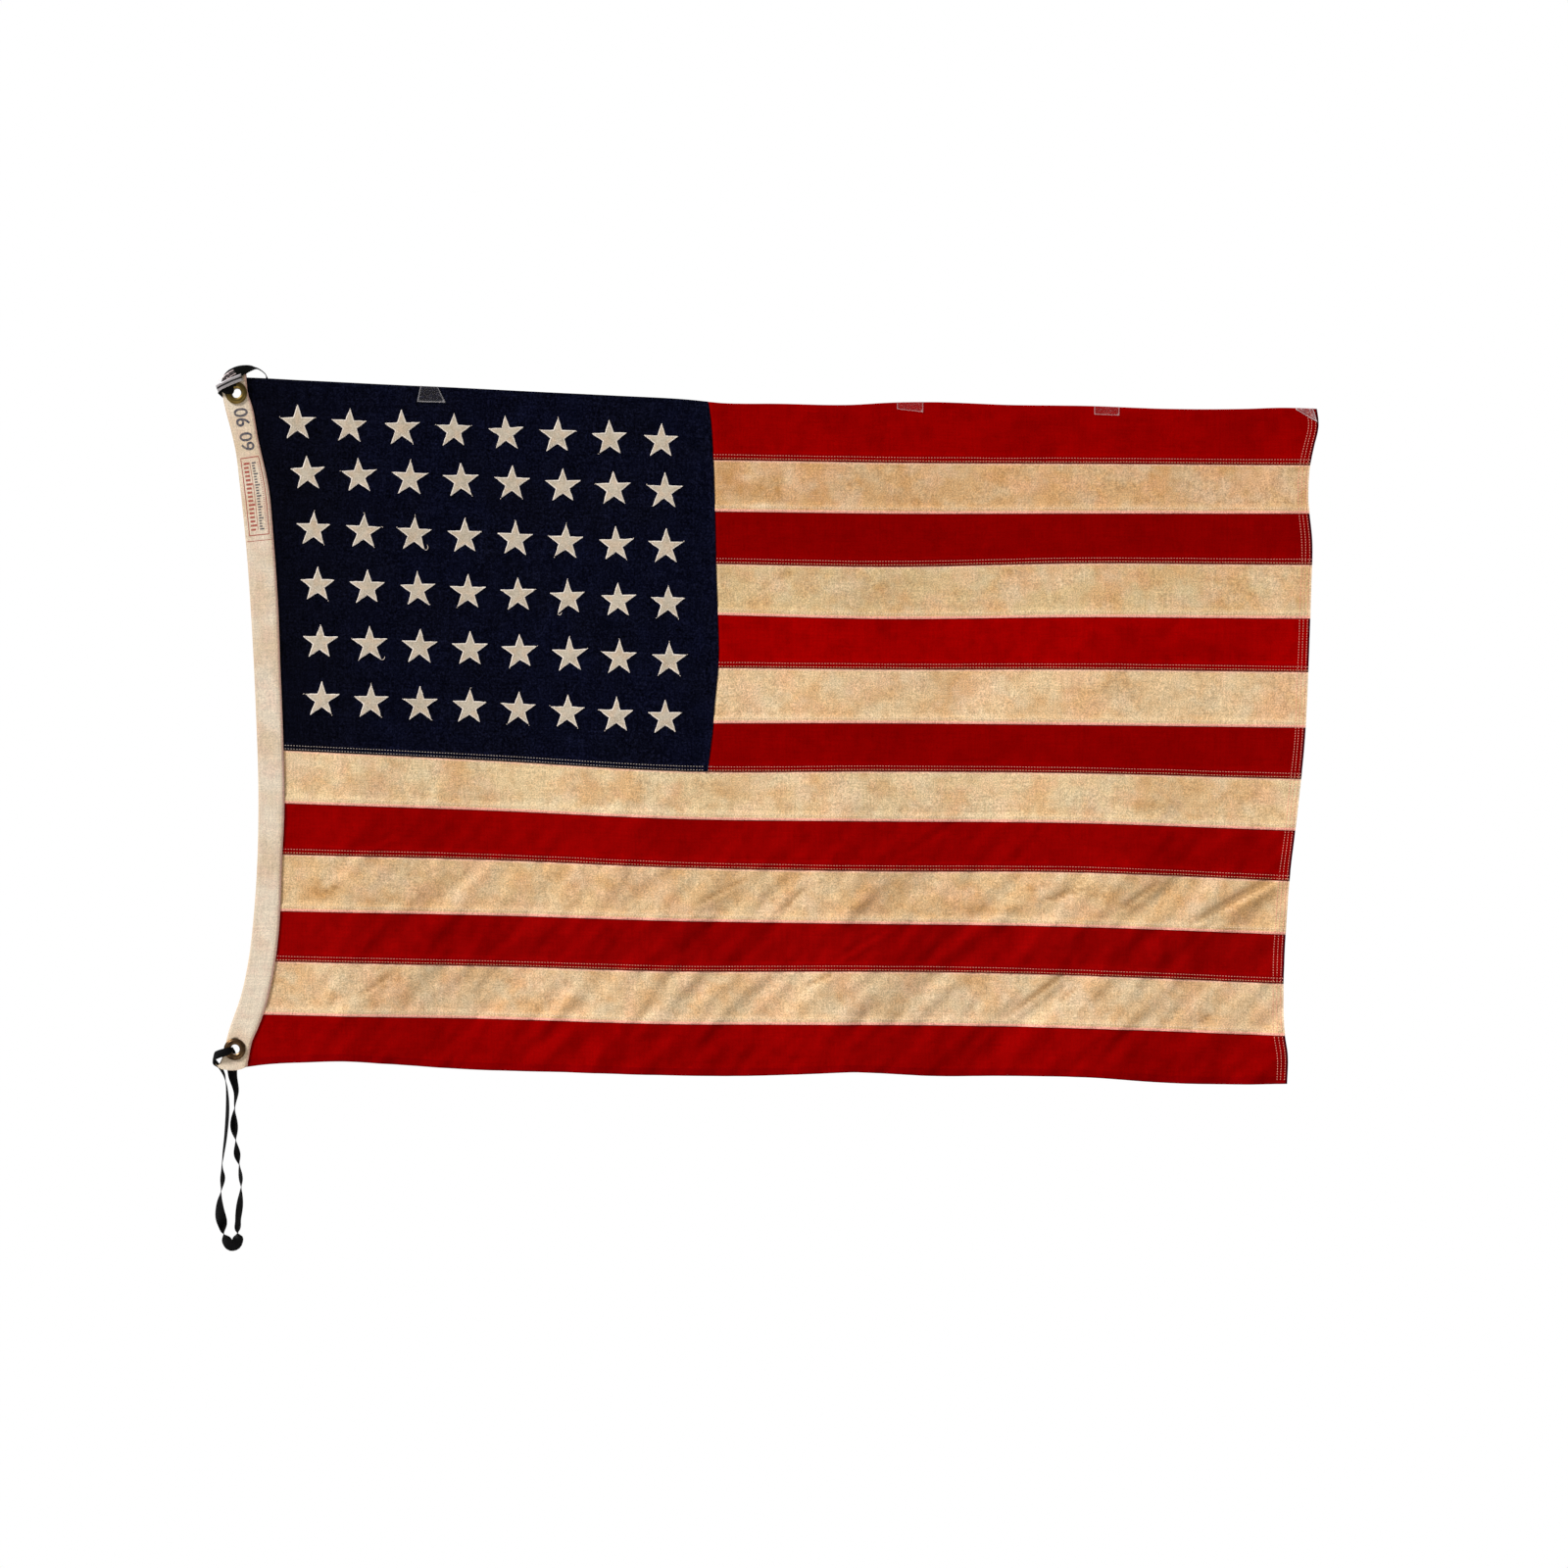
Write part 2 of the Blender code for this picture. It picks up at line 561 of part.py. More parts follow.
def margin_faces(columns):
    """The canton's lower margin: vertices and faces, open along its upper side."""
    inner, outer = GAP / 2, GAP / 2 + LAYER
    seam = SEAMS[CANTON_STRIPES]
    grids = []
    for body, over in ((CLOTH / 2, outer), (-CLOTH / 2, inner)):
        rows = [(FELL + STEP, body), (FELL, over), (0.0, over)]
        grids.append([[vertex(*row_point(c, seam, offset), depth) for offset, depth in rows] for c in columns])
    vertices, faces = panel_faces(*grids)
    rows = len(grids[0][0])
    base = len(columns) * rows
    upper = {c * rows for c in range(len(columns))}
    upper |= {base + i for i in upper}
    return vertices, [f for f in faces if not upper.issuperset(f)]


def loft(rings):
    """Vertices and faces of a solid through rings of points, capped at both ends."""
    size = len(rings[0])
    faces = []
    for k in range(len(rings) - 1):
        for i in range(size):
            j = (i + 1) % size
            a, b, c, d = k * size + i, k * size + j, (k + 1) * size + j, (k + 1) * size + i
            faces += [(a, b, c), (a, c, d)]
    last = (len(rings) - 1) * size
    faces += [tuple(range(size))[::-1], tuple(range(last, last + size))]
    return [v for ring in rings for v in ring], faces


def heading_ring(share):
    """The heading's section at a share of its height, from the top."""
    outer_z = HEADING_TOP[0] + share * (HEADING_LOW[0] - HEADING_TOP[0])
    inner_z = HEADING_TOP[1] + share * (HEADING_LOW[1] - HEADING_TOP[1])
    outer, inner = HEADING_OUTER_LINE.at(outer_z), HOIST_LINE.at(inner_z)
    section = [
        (outer, -HEADING_HALF + FOLD_ROUND),
        (outer, HEADING_HALF - FOLD_ROUND),
        (outer + FOLD_ROUND, HEADING_HALF),
        ((outer + inner) / 2, HEADING_HALF),
        (inner, HEADING_HALF),
        (inner, SLOT_HALF),
        (inner - SLOT_DEEP, SLOT_HALF),
        (inner - SLOT_DEEP, -SLOT_HALF),
        (inner, -SLOT_HALF),
        (inner, -HEADING_HALF),
        ((outer + inner) / 2, -HEADING_HALF),
        (outer + FOLD_ROUND, -HEADING_HALF),
    ]
    ring = []
    for x, depth in section:
        level = outer_z + (inner_z - outer_z) * (x - outer) / (inner - outer)
        sag = ease((share - FOOT_FROM) / (1.0 - FOOT_FROM)) * (FOOT_LINE.at(x) - level)
        ring.append(vertex(x, level + sag, depth))
    return ring


def make_heading():
    """The canvas heading, folded round the field's edge, with a hole for each eyelet."""
    rings = [heading_ring(i / HEADING_ROWS) for i in range(HEADING_ROWS + 1)]
    heading = finish_mesh("heading", mesh_of("heading", *loft(rings)), CANVAS, CLOTH_ROUGH)
    for label, (x, z) in (("upper", UPPER_EYELET), ("lower", LOWER_EYELET)):
        hole = round_cutter(f"hole_{label}", x, z, BARREL + GAP)
        cut = heading.modifiers.new(f"hole_{label}", "BOOLEAN")
        cut.operation = "DIFFERENCE"
        cut.object = hole
    return heading


def round_cutter(name, x, z, radius):
    """A cutter along Y, as long as any thickness here needs."""
    rings = []
    for y in (-CUTTER_REACH, CUTTER_REACH):
        angles = [2 * math.pi * i / EYELET_SIDES for i in range(EYELET_SIDES)]
        rings.append([Vector((x + radius * math.cos(a), y, z - radius * math.sin(a))) * MM for a in angles])
    cutter = finish_mesh(name, mesh_of(name, *loft(rings)), CANVAS, CLOTH_ROUGH)
    cutter.hide_render = True
    cutter.display_type = "WIRE"
    return cutter


def turned(name, section, centre):
    """A ring turned about Y: its section is (radius, depth) points, anticlockwise."""
    x, z = centre
    size = len(section)
    vertices, faces = [], []
    for i in range(EYELET_SIDES):
        angle = 2 * math.pi * i / EYELET_SIDES
        for radius, depth in section:
            spot = (x + radius * math.cos(angle), -depth, z + radius * math.sin(angle))
            vertices.append(Vector(spot) * MM)
        near, far = i * size, ((i + 1) % EYELET_SIDES) * size
        for k in range(size):
            m = (k + 1) % size
            faces.append((near + k, far + k, far + m, near + m))
    obj = finish_mesh(name, mesh_of(name, vertices, faces), BRASS, BRASS_ROUGH, BRASS_METALLIC)
    obj.data.shade_smooth()
    return obj


def make_eyelet(label, centre):
    """One eyelet and its washer, pressed through the heading."""
    face = HEADING_HALF + GAP
    clinch = face + WASHER_THICK + GAP
    eyelet = [(radius, -clinch - rise) for radius, rise in ROLL_RISE]
    eyelet += [(BARREL, face)] + [(radius, face + rise) for radius, rise in FLANGE_RISE]
    washer = [
        (BARREL + GAP, -face - WASHER_THICK),
        (WASHER - WASHER_EDGE, -face - WASHER_THICK),
        (WASHER, -face - WASHER_EDGE),
        (WASHER, -face),
        (BARREL + GAP, -face),
    ]
    turned(f"eyelet_{label}", eyelet, centre)
    turned(f"washer_{label}", washer, centre)


def route_steps(route):
    """Steps along a smooth route, through every point of it: each value, interpolated."""
    points = np.array(route, float)
    spans = np.linalg.norm(np.diff(points[:, :3], axis=0), axis=1)
    along = np.concatenate([[0.0], np.cumsum(spans)])
    lines = [Line(zip(along, points[:, k])) for k in range(points.shape[1])]
    stops = [along[-1]]
    for start, span in zip(along[:-1], spans):
        parts = math.ceil(span / RIBBON_STEP)
        stops += [start + span * k / parts for k in range(parts)]
    return [[line.at(s) for line in lines] for s in sorted(stops)]


def width_direction(turn, lean):
    """The ribbon's width as a direction: a turn about Z towards the viewer, then a lean up."""
    turn, lean = math.radians(turn), math.radians(lean)
    return Vector((math.cos(lean) * math.cos(turn), -math.cos(lean) * math.sin(turn), math.sin(lean)))


def make_ribbon(name, route):
    """A ribbon tie along its route, turned as each point says."""
    places = route_steps(route)
    centres = [Vector((x, -depth, z)) for x, depth, z, _, _, _ in places]
    rings = []
    for i, (_, _, _, turn, lean, width) in enumerate(places):
        run = (centres[min(i + 1, len(centres) - 1)] - centres[max(i - 1, 0)]).normalized()
        across = width_direction(turn, lean)
        across = (across - run * across.dot(run)).normalized()
        face = run.cross(across)
        corners = ((-1, -1), (1, -1), (1, 1), (-1, 1))
        rings.append([
            (centres[i] + across * (a * width / 2) + face * (b * RIBBON_THICK / 2)) * MM for a, b in corners
        ])
    return finish_mesh(name, mesh_of(name, *loft(rings)), BLACK, RIBBON_ROUGH)


def make_tape(name, ends, flare, reach, behind):
    """A clear tape piece, folded over the top edge from the front to the back."""
    rings = []
    near, far = CLOTH / 2 + TAPE_CLEAR, CLOTH / 2 + TAPE_CLEAR + TAPE_THICK
    back_near, back_far = behind + TAPE_CLEAR, behind + TAPE_CLEAR + TAPE_THICK
    for share in (0.0, 1.0):
        top_x = ends[0] + share * (ends[1] - ends[0])
        low_x = top_x + flare[0] + share * (flare[1] - flare[0])
        drop = reach[0] + share * (reach[1] - reach[0])
        edge = SEAMS[0].at(top_x)
        section = [(low_x, -drop, near), (low_x, -drop, far), (top_x, TAPE_CLEAR + TAPE_THICK, far),
                   (top_x, TAPE_CLEAR + TAPE_THICK, -back_far), (top_x, -TAPE_BACK, -back_far),
                   (top_x, -TAPE_BACK, -back_near), (top_x, TAPE_CLEAR, -back_near),
                   (top_x, TAPE_CLEAR, near)]
        depth = cloth_depth(top_x, edge)
        rings.append([Vector((x, -(depth + d), edge + up)) * MM for x, up, d in section])
    return finish_mesh(name, mesh_of(name, *loft(rings)), CLEAR, TAPE_ROUGH)


def make_hoist_tape():
    """The tape strip that crosses the upper ribbon at the heading's corner, its outer end turned back."""
    reach = HOIST_TAPE_HALF * HOIST_TAPE_LEAN[0], HOIST_TAPE_HALF * HOIST_TAPE_LEAN[1]
    rings = []
    for x, depth, z in HOIST_TAPE:
        low = (x - reach[0], z - reach[1])
        high = (x + reach[0], z + reach[1])
        corners = [(low, depth), (low, depth + TAPE_THICK), (high, depth + TAPE_THICK), (high, depth)]
        rings.append([Vector((a, -d, b)) * MM for (a, b), d in corners])
    return finish_mesh("tape_hoist", mesh_of("tape_hoist", *loft(rings)), CLEAR, TAPE_ROUGH)


def main():
    for old in list(bpy.data.objects):
        bpy.data.objects.remove(old)
    make_heading()
    make_canton()
    for number in range(1, STRIPES + 1):
        make_stripe(number)
    make_eyelet("upper", UPPER_EYELET)
    make_eyelet("lower", LOWER_EYELET)
    make_ribbon("tie_lower", LOWER_RIBBON)
    make_ribbon("tie_upper", UPPER_RIBBON)
    for name, sizes in TAPES.items():
        make_tape(name, *sizes)
    make_hoist_tape()


main()
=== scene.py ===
"""Dresses a hung cotton flag: sewn stripes, a starred canton, a canvas heading, eyelets, ties and tape.

Sizes are in millimetres, and a mesh turns them to metres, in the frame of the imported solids:
X along the fly, Z up, the front towards -Y. A lift is a distance towards the viewer, along -Y.
A side is 1 at the front and -1 at the back.
"""

import logging
import math
import random
from dataclasses import dataclass, field, replace
from enum import Enum
from functools import partial
from typing import Any, Callable, Iterable, Sequence

import bpy
import numpy as np
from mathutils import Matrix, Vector, noise


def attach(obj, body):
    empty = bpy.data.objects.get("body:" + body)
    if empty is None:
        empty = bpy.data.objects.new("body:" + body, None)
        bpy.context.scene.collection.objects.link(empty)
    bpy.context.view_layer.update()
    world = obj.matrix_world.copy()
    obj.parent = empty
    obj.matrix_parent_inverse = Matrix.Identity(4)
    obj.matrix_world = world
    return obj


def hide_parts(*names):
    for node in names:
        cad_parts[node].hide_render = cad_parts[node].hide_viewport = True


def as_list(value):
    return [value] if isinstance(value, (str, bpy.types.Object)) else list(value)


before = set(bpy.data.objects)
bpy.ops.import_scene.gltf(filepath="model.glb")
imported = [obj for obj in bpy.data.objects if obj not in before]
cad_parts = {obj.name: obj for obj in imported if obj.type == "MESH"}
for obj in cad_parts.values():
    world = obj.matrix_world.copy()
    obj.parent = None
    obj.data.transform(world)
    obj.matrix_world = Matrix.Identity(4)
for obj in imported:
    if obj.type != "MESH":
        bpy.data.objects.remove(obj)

MM = 0.001
LOG = logging.getLogger("flag")
Array = np.ndarray
Object = bpy.types.Object
Material = bpy.types.Material
Points = Sequence[tuple[float, ...]]
Spot = tuple[float, float]
ROOT = "root"
FACES = {1: "front", -1: "back"}

# Edges of the hung cloth, as (place, height) or (height, place) points, as in the solids
TOP_EDGE = ((-486, 23.5), (-458, 23), (-408, 20.5), (-340, 17), (-271, 14), (-202, 10.5), (-133, 7),
            (-70, 3.5), (-40, 0.5), (-18, 0), (0, 0), (73, -1), (107, 1), (142, 1.5), (211, -1),
            (279, -2), (348, -4.5), (417, -4.5), (451, -3.5), (483, -4.5))
LOWER_EDGE = ((-462, -582.5), (-443, -580), (-408, -578), (-374, -577), (-340, -579), (-271, -584),
              (-168, -587), (-99, -589), (-30, -590), (39, -588), (73, -586.5), (107, -588),
              (142, -590), (211, -590), (279, -591), (348, -596), (417, -597.5), (456, -597))
HEADING_OUTER = ((24, -480), (9, -480), (-4, -477.5), (-21, -473), (-38, -469), (-72, -464.5),
                 (-124, -459), (-193, -454), (-261, -450.5), (-347, -448), (-399, -449),
                 (-451, -452.5), (-485, -456.5), (-519, -463.5), (-548, -473.5), (-562, -478),
                 (-572, -483.5), (-579, -486))
HOIST_EDGE = ((26, -459), (8, -457), (-1, -454), (-30, -448.5), (-74, -439), (-115, -435), (-178, -430.5),
              (-230, -428.5), (-293, -426), (-355, -425), (-408, -427.5), (-439, -428.5), (-487, -433),
              (-530, -442), (-549, -449), (-560, -454), (-570, -457), (-582, -458))
FLY_EDGE = ((0, 480), (-20, 482), (-38, 478), (-55, 474.5), (-80, 473), (-124, 476.5), (-158, 475.5),
            (-227, 473), (-296, 469.5), (-365, 462.5), (-433, 455), (-468, 453), (-519, 451.5),
            (-554, 452.5), (-571, 455), (-600, 454.5))
CANTON_EDGE = ((8, -55), (-2, -53), (-48, -49), (-96, -47.5), (-140, -46.5), (-186, -45), (-230, -44.5),
               (-263, -47.5), (-282, -49), (-323, -54))
HEADING_FOOT = ((-486, -579), (-483, -582.5), (-477, -584.5), (-470, -585), (-463.5, -584), (-458, -581.5))
SEAM_PLACES = (-417, -245, -73, 99, 271, 443)
SEAM_HEIGHTS = (
    (-49, -49, -49, -51.5, -52.5, -53.5), (-94.5, -94.5, -94.5, -96.5, -96.5, -96.5),
    (-140, -140, -140, -143, -140, -141), (-185, -185, -185, -189, -187.5, -188.5),
    (-231.5, -231.5, -231.5, -233, -233, -235), (-280.5, -280.5, -280.5, -280.5, -282, -284),
    (-304.5, -313, -322.5, -322.5, -324, -328.5), (-351, -357, -364.5, -366.5, -368, -374),
    (-395.5, -400, -407, -410, -411, -418), (-445.5, -449, -454, -456.5, -459, -465.5),
    (-489.5, -493.5, -498, -498, -501.5, -508.5), (-536.5, -540, -544.5, -545, -548, -554.5),
)
STRIPES = 13
CANTON_STRIPES = 7
# Heights of the two rows of stitches over each seam
SEWN_ROWS = (1.4, 4.4)
UPPER_EYELET = (-467.4, 9.2)
LOWER_EYELET = (-468.7, -566.3)

# The lower ribbon's loop and the upper ribbon, as in the solids: x, lift, z, the width's turn
# about Z, its lean up from level, and its width
LOWER_RIBBON = (
    (-471.5, 1.0, -566.5, 0, 90, 4.0), (-471.5, 3.6, -566.7, 0, 90, 4.2),
    (-474.0, 5.1, -567.8, 0, 90, 6.2), (-483.0, 4.2, -570.6, 0, 80, 7.0),
    (-487.3, 1.2, -573.0, -60, 70, 8.0), (-487.8, -2.4, -577.0, -90, 45, 9.0),
    (-484.0, -4.6, -581.5, -90, 15, 9.5), (-480.3, -4.4, -587.0, -84, 0, 9.5),
    (-477.6, -3.6, -595.0, -100, 0, 9.5), (-476.3, -3.2, -607.0, -112, 0, 9.5),
    (-477.6, -3.0, -642.0, -114, 0, 9.5), (-479.8, -3.0, -659.5, -106, 0, 9.5),
    (-480.8, -3.0, -671.0, -92, 0, 9.5), (-480.3, -3.0, -680.5, -72, 0, 9.5),
    (-481.2, -3.0, -689.5, -92, 0, 9.5), (-482.7, -3.0, -700.5, -128, 0, 9.5),
    (-482.3, -3.0, -711.5, -168, 0, 9.5), (-480.2, -3.0, -721.0, -222, 0, 9.5),
    (-479.5, -3.0, -728.0, -270, 0, 9.5), (-476.8, -2.4, -734.0, -340, 25, 9.5),
    (-472.6, -2.0, -739.0, -360, 62, 9.5), (-468.4, -2.0, -738.0, -360, 112, 9.5),
    (-466.6, -2.4, -733.0, -360, 150, 9.5), (-466.9, -3.0, -727.5, -270, 178, 9.5),
    (-466.4, -3.0, -716.0, -246, 180, 9.5), (-465.0, -3.0, -703.0, -241, 180, 9.5),
    (-464.1, -3.0, -691.0, -268, 180, 9.5), (-464.1, -3.0, -680.0, -300, 180, 9.5),
    (-465.4, -3.0, -669.0, -282, 180, 9.5), (-467.2, -3.0, -659.5, -242, 180, 9.5),
    (-468.4, -3.0, -649.0, -270, 180, 9.5), (-469.9, -3.0, -636.0, -322, 180, 9.5),
    (-469.4, -3.2, -616.0, -272, 180, 9.5), (-468.2, -3.6, -605.0, -252, 180, 9.5),
    (-471.6, -4.8, -589.0, -222, 180, 9.5), (-472.2, -6.2, -577.5, -190, 180, 8.0),
    (-471.5, -6.4, -571.5, -180, 135, 5.0), (-471.3, -5.7, -567.4, -180, 92, 4.0),
    (-471.5, -1.4, -566.5, -180, 90, 4.0),
)
UPPER_RIBBON = (
    (-470.1, 0.5, 10.3, 0, 68, 4.0), (-470.2, 3.6, 10.4, 0, 64, 4.4), (-474.0, 5.3, 13.2, 0, 35, 13.6),
    (-473.6, 5.2, 18.0, 0, 10, 13.0), (-471.8, 4.9, 23.4, 0, -12, 11.5), (-466.8, 4.3, 27.2, 0, -62, 10.0),
    (-460.6, 3.8, 29.4, 0, -80, 8.4), (-454.8, 2.6, 31.0, 30, -62, 5.6), (-450.0, 1.2, 31.2, 84, -20, 5.2),
    (-445.6, -1.6, 29.0, 88, -8, 5.4), (-442.0, -4.8, 25.0, 80, -10, 6.0), (-441.4, -7.0, 20.5, 40, -38, 7.0),
    (-446.5, -7.6, 17.8, 10, -66, 8.0), (-457.0, -7.6, 18.0, 0, -88, 8.5), (-468.0, -7.4, 18.6, 0, -84, 8.5),
    (-475.5, -6.6, 14.4, 0, -52, 8.5), (-482.2, -4.4, 7.4, 0, -43, 7.0),
)


def ease(t: Array | float) -> Array:
    """A smooth step from 0 to 1."""
    t = np.clip(t, 0.0, 1.0)
    return t * t * (3.0 - 2.0 * t)


def to_linear(hex_colour: str) -> tuple[float, float, float, float]:
    """An sRGB hex colour as linear red, green, blue and an alpha of 1."""
    shares = [int(hex_colour[i:i + 2], 16) / 255 for i in (1, 3, 5)]
    return (*[c / 12.92 if c <= 0.04045 else ((c + 0.055) / 1.055) ** 2.4 for c in shares], 1.0)


def lay(x: Array, lift: Array, z: Array) -> Array:
    """Points at their places on the cloth, each at its lift."""
    return np.stack([x, -lift, z], -1)


def unit(rows: Array) -> Array:
    """Each row's direction."""
    return rows / np.linalg.norm(rows, axis=1)[:, None]


def add_node(tree: bpy.types.NodeTree, kind: str, inputs: dict | None = None, out: int | str = 0,
             **settings: Any) -> bpy.types.NodeSocket | None:
    """Adds a node with its settings and its inputs.

    Args:
        tree: the tree that takes the node.
        kind: Blender's name for the node's type.
        inputs: a value or a socket to link, for an input's name or number.
        out: the name or number of the output that is wanted.
        settings: the node's own properties.

    Returns:
        That output, or None where the node has no output.
    """
    node = tree.nodes.new(kind)
    for key, value in settings.items():
        setattr(node, key, value)
    for key, value in (inputs or {}).items():
        if isinstance(value, bpy.types.NodeSocket):
            tree.links.new(value, node.inputs[key])
        else:
            node.inputs[key].default_value = value
    return node.outputs[out] if node.outputs else None


def ripple(x: Array, z: Array, along: float, across: float, turn: float, seed: float) -> Array:
    """Smooth unevenness over the cloth, from -1 to 1.

    Args:
        x: places along the fly.
        z: heights.
        along: length of a wave along its crest.
        across: length of a wave across its crest.
        turn: angle of the crests from level, in degrees.
        seed: which pattern.

    Returns:
        The unevenness at each place.
    """
    c, s = math.cos(math.radians(turn)), math.sin(math.radians(turn))
    u, v = (x * c + z * s) / along, (z * c - x * s) / across
    flat = [noise.noise((a, b, seed)) for a, b in zip(u.ravel().tolist(), v.ravel().tolist())]
    return np.array(flat).reshape(x.shape)


class Curve:
    """A smooth line through given (place, value) points, straight beyond its ends."""

    def __init__(self, points: Iterable[Spot]) -> None:
        """Sorts the points and finds the slope at each."""
        self.places, self.values = np.array(sorted(points), float).T
        self.slopes = np.gradient(self.values, self.places)

    def at(self, place: Array | float) -> Array:
        """The value at each place.

        Args:
            place: where the line is read.

        Returns:
            A cubic between the points, with their slopes.
        """
        place = np.asarray(place, float)
        low = np.clip(np.searchsorted(self.places, place) - 1, 0, len(self.places) - 2)
        span = self.places[low + 1] - self.places[low]
        free = (place - self.places[low]) / span
        t = np.clip(free, 0.0, 1.0)
        m, n = self.slopes[low] * span, self.slopes[low + 1] * span
        value = (2 * t**3 - 3 * t**2 + 1) * self.values[low] + (t**3 - 2 * t**2 + t) * m
        value = value + (3 * t**2 - 2 * t**3) * self.values[low + 1] + (t**3 - t**2) * n
        return value + np.where(free < 0.0, m, n) * (free - t)


OUTER_LINE, HOIST_LINE = Curve(HEADING_OUTER), Curve(HOIST_EDGE)
FLY_LINE, CANTON_LINE, FOOT_LINE = Curve(FLY_EDGE), Curve(CANTON_EDGE), Curve(HEADING_FOOT)
SEAMS = [Curve(TOP_EDGE)] + [Curve(zip(SEAM_PLACES, row)) for row in SEAM_HEIGHTS] + [Curve(LOWER_EDGE)]


class FoldShape(Enum):
    """How a fold rises: as a round ridge or trough, or as a crease, up on one side and down on the other."""

    ROUND = "round"
    CREASE = "crease"


@dataclass(frozen=True)
class Fold:
    """A slanting fold, from its foot to its head, that fades at both ends."""

    foot: Spot
    head: Spot
    half: float
    rise: float
    shape: FoldShape = FoldShape.ROUND
    fade: float = 0.25

    def lift(self, x: Array, z: Array) -> Array:
        """How far the fold lifts the cloth.

        Args:
            x: places along the fly.
            z: heights.

        Returns:
            The lift at each place.
        """
        run, climb = self.head[0] - self.foot[0], self.head[1] - self.foot[1]
        length = math.hypot(run, climb)
        ax, az = run / length, climb / length
        along = ((x - self.foot[0]) * ax + (z - self.foot[1]) * az) / length
        across = ((x - self.foot[0]) * az - (z - self.foot[1]) * ax) / self.half
        profile = np.exp(-across * across)
        if self.shape is FoldShape.CREASE:
            profile = profile * across * 2.0
        return self.rise * ease(along / self.fade + 0.5) * ease((1.0 - along) / self.fade + 0.5) * profile


def crease(x0: float, z0: float, x1: float, z1: float, half: float = 2.8, rise: float = 0.8) -> Fold:
    """A narrow crease from its foot to its head."""
    return Fold((x0, z0), (x1, z1), half, rise, FoldShape.CREASE, 0.5)


@dataclass(frozen=True)
class HungCloth:
    """The shape that all panels share: the folds of the hung cloth, about the plane Y = 0.

    flutes are (place at the top, at the foot, half width, rise). wrinkles are (strength, more of it
    low down, wave along, wave across, turn, seed), and below 0 they are sharp valleys. The cloth is
    flat at the heading and takes its full shape at calm from it.
    """

    drop: float = 590.0
    share_at_top: float = 0.3
    calm: float = 70.0
    bow: float = 3.0
    bow_span: Spot = (-12.0, -545.0)
    low_from: float = 300.0
    low_over: float = 160.0
    flutes: Points = ((-350, -374, 52, 4.0), (-215, -245, 70, -2.5), (-95, -120, 60, 3.0), (45, 72, 48, 4.5),
                      (165, 185, 60, -2.0), (300, 280, 62, 3.5), (405, 400, 50, -1.5))
    wrinkles: Points = ((0.25, 1.6, 58.0, 13.5, 44.0, 3.7), (0.1, 0.42, 22.0, 8.0, 52.0, 15.1),
                        (-0.2, -1.8, 110.0, 24.0, 42.0, 26.3), (0.35, -0.1, 150.0, 34.0, 84.0, 9.2))
    folds: tuple[Fold, ...] = (
        Fold((-372, -546), (-285, -470), 19, 1.8), Fold((-290, -560), (-180, -478), 22, -1.6),
        Fold((-110, -470), (0, -385), 21, 1.7), Fold((20, -560), (130, -465), 22, 1.9),
        Fold((190, -560), (285, -478), 20, -1.8), Fold((235, -470), (345, -395), 19, 1.8),
        Fold((330, -480), (452, -415), 20, 2.2), Fold((120, -350), (230, -255), 24, 1.5),
        crease(-60, -439.5, -19, -418), crease(15.5, -443, 32, -427), crease(-395, -431, -374, -424, 2.2),
        crease(237, -439, 279, -427), crease(254, -435, 278, -418, 2.2),
        crease(310, -444, 343, -422, 3.0, 0.9), crease(380, -454, 444, -419, 4.5, 1.4),
        crease(58.5, -490, 107.5, -461, 2.4, 1.0),
        crease(32, -513, 58.5, -500.5), crease(-358, -521, -330, -502, 3.0),
        crease(216, -535, 260, -502, 3.5, 1.0), crease(256, -525, 272, -513, 2.2),
        crease(379, -546, 389, -537, 2.2), crease(-352, -392, -322, -377, 3.0),
        crease(120, -398, 160, -372, 4.0),
    )

    def lift(self, x: Array, z: Array) -> Array:
        """How far the cloth's middle stands towards the viewer.

        Args:
            x: places along the fly.
            z: heights.

        Returns:
            The lift at each place.
        """
        x, z = np.asarray(x, float), np.asarray(z, float)
        top, foot = self.bow_span
        bow = np.sin(np.pi * np.clip((top - z) / (top - foot), 0.0, 1.0))
        fall = np.clip(-z / self.drop, 0.0, 1.0)
        strength = self.share_at_top + (1.0 - self.share_at_top) * ease(fall)
        total = np.zeros_like(x)
        for top, foot, half, rise in self.flutes:
            off = (x - top - (foot - top) * fall) / half
            total += rise * strength * np.exp(-off * off)
        for fold in self.folds:
            total += fold.lift(x, z)
        low = ease((-z - self.low_from) / self.low_over)
        for everywhere, more, *wave in self.wrinkles:
            height = ripple(x, z, *wave)
            total += (everywhere + more * low) * (np.abs(height) if everywhere < 0.0 else height)
        return self.bow * bow * bow + ease((x - HOIST_LINE.at(z)) / self.calm) * total


CLOTH = HungCloth()


@dataclass(frozen=True)
class Stain:
    """An old stain: an ellipse with soft edges. A strength below 0 is a paler place."""

    x: float
    z: float
    wide: float
    high: float
    strength: float
    turn: float = 0.0

    def at(self, x: Array, z: Array) -> Array:
        """The stain's strength.

        Args:
            x: places along the fly.
            z: heights.

        Returns:
            The strength at each place.
        """
        c, s = math.cos(math.radians(self.turn)), math.sin(math.radians(self.turn))
        u = ((x - self.x) * c + (z - self.z) * s) / self.wide
        v = ((z - self.z) * c - (x - self.x) * s) / self.high
        return self.strength * np.exp(-(u * u + v * v))


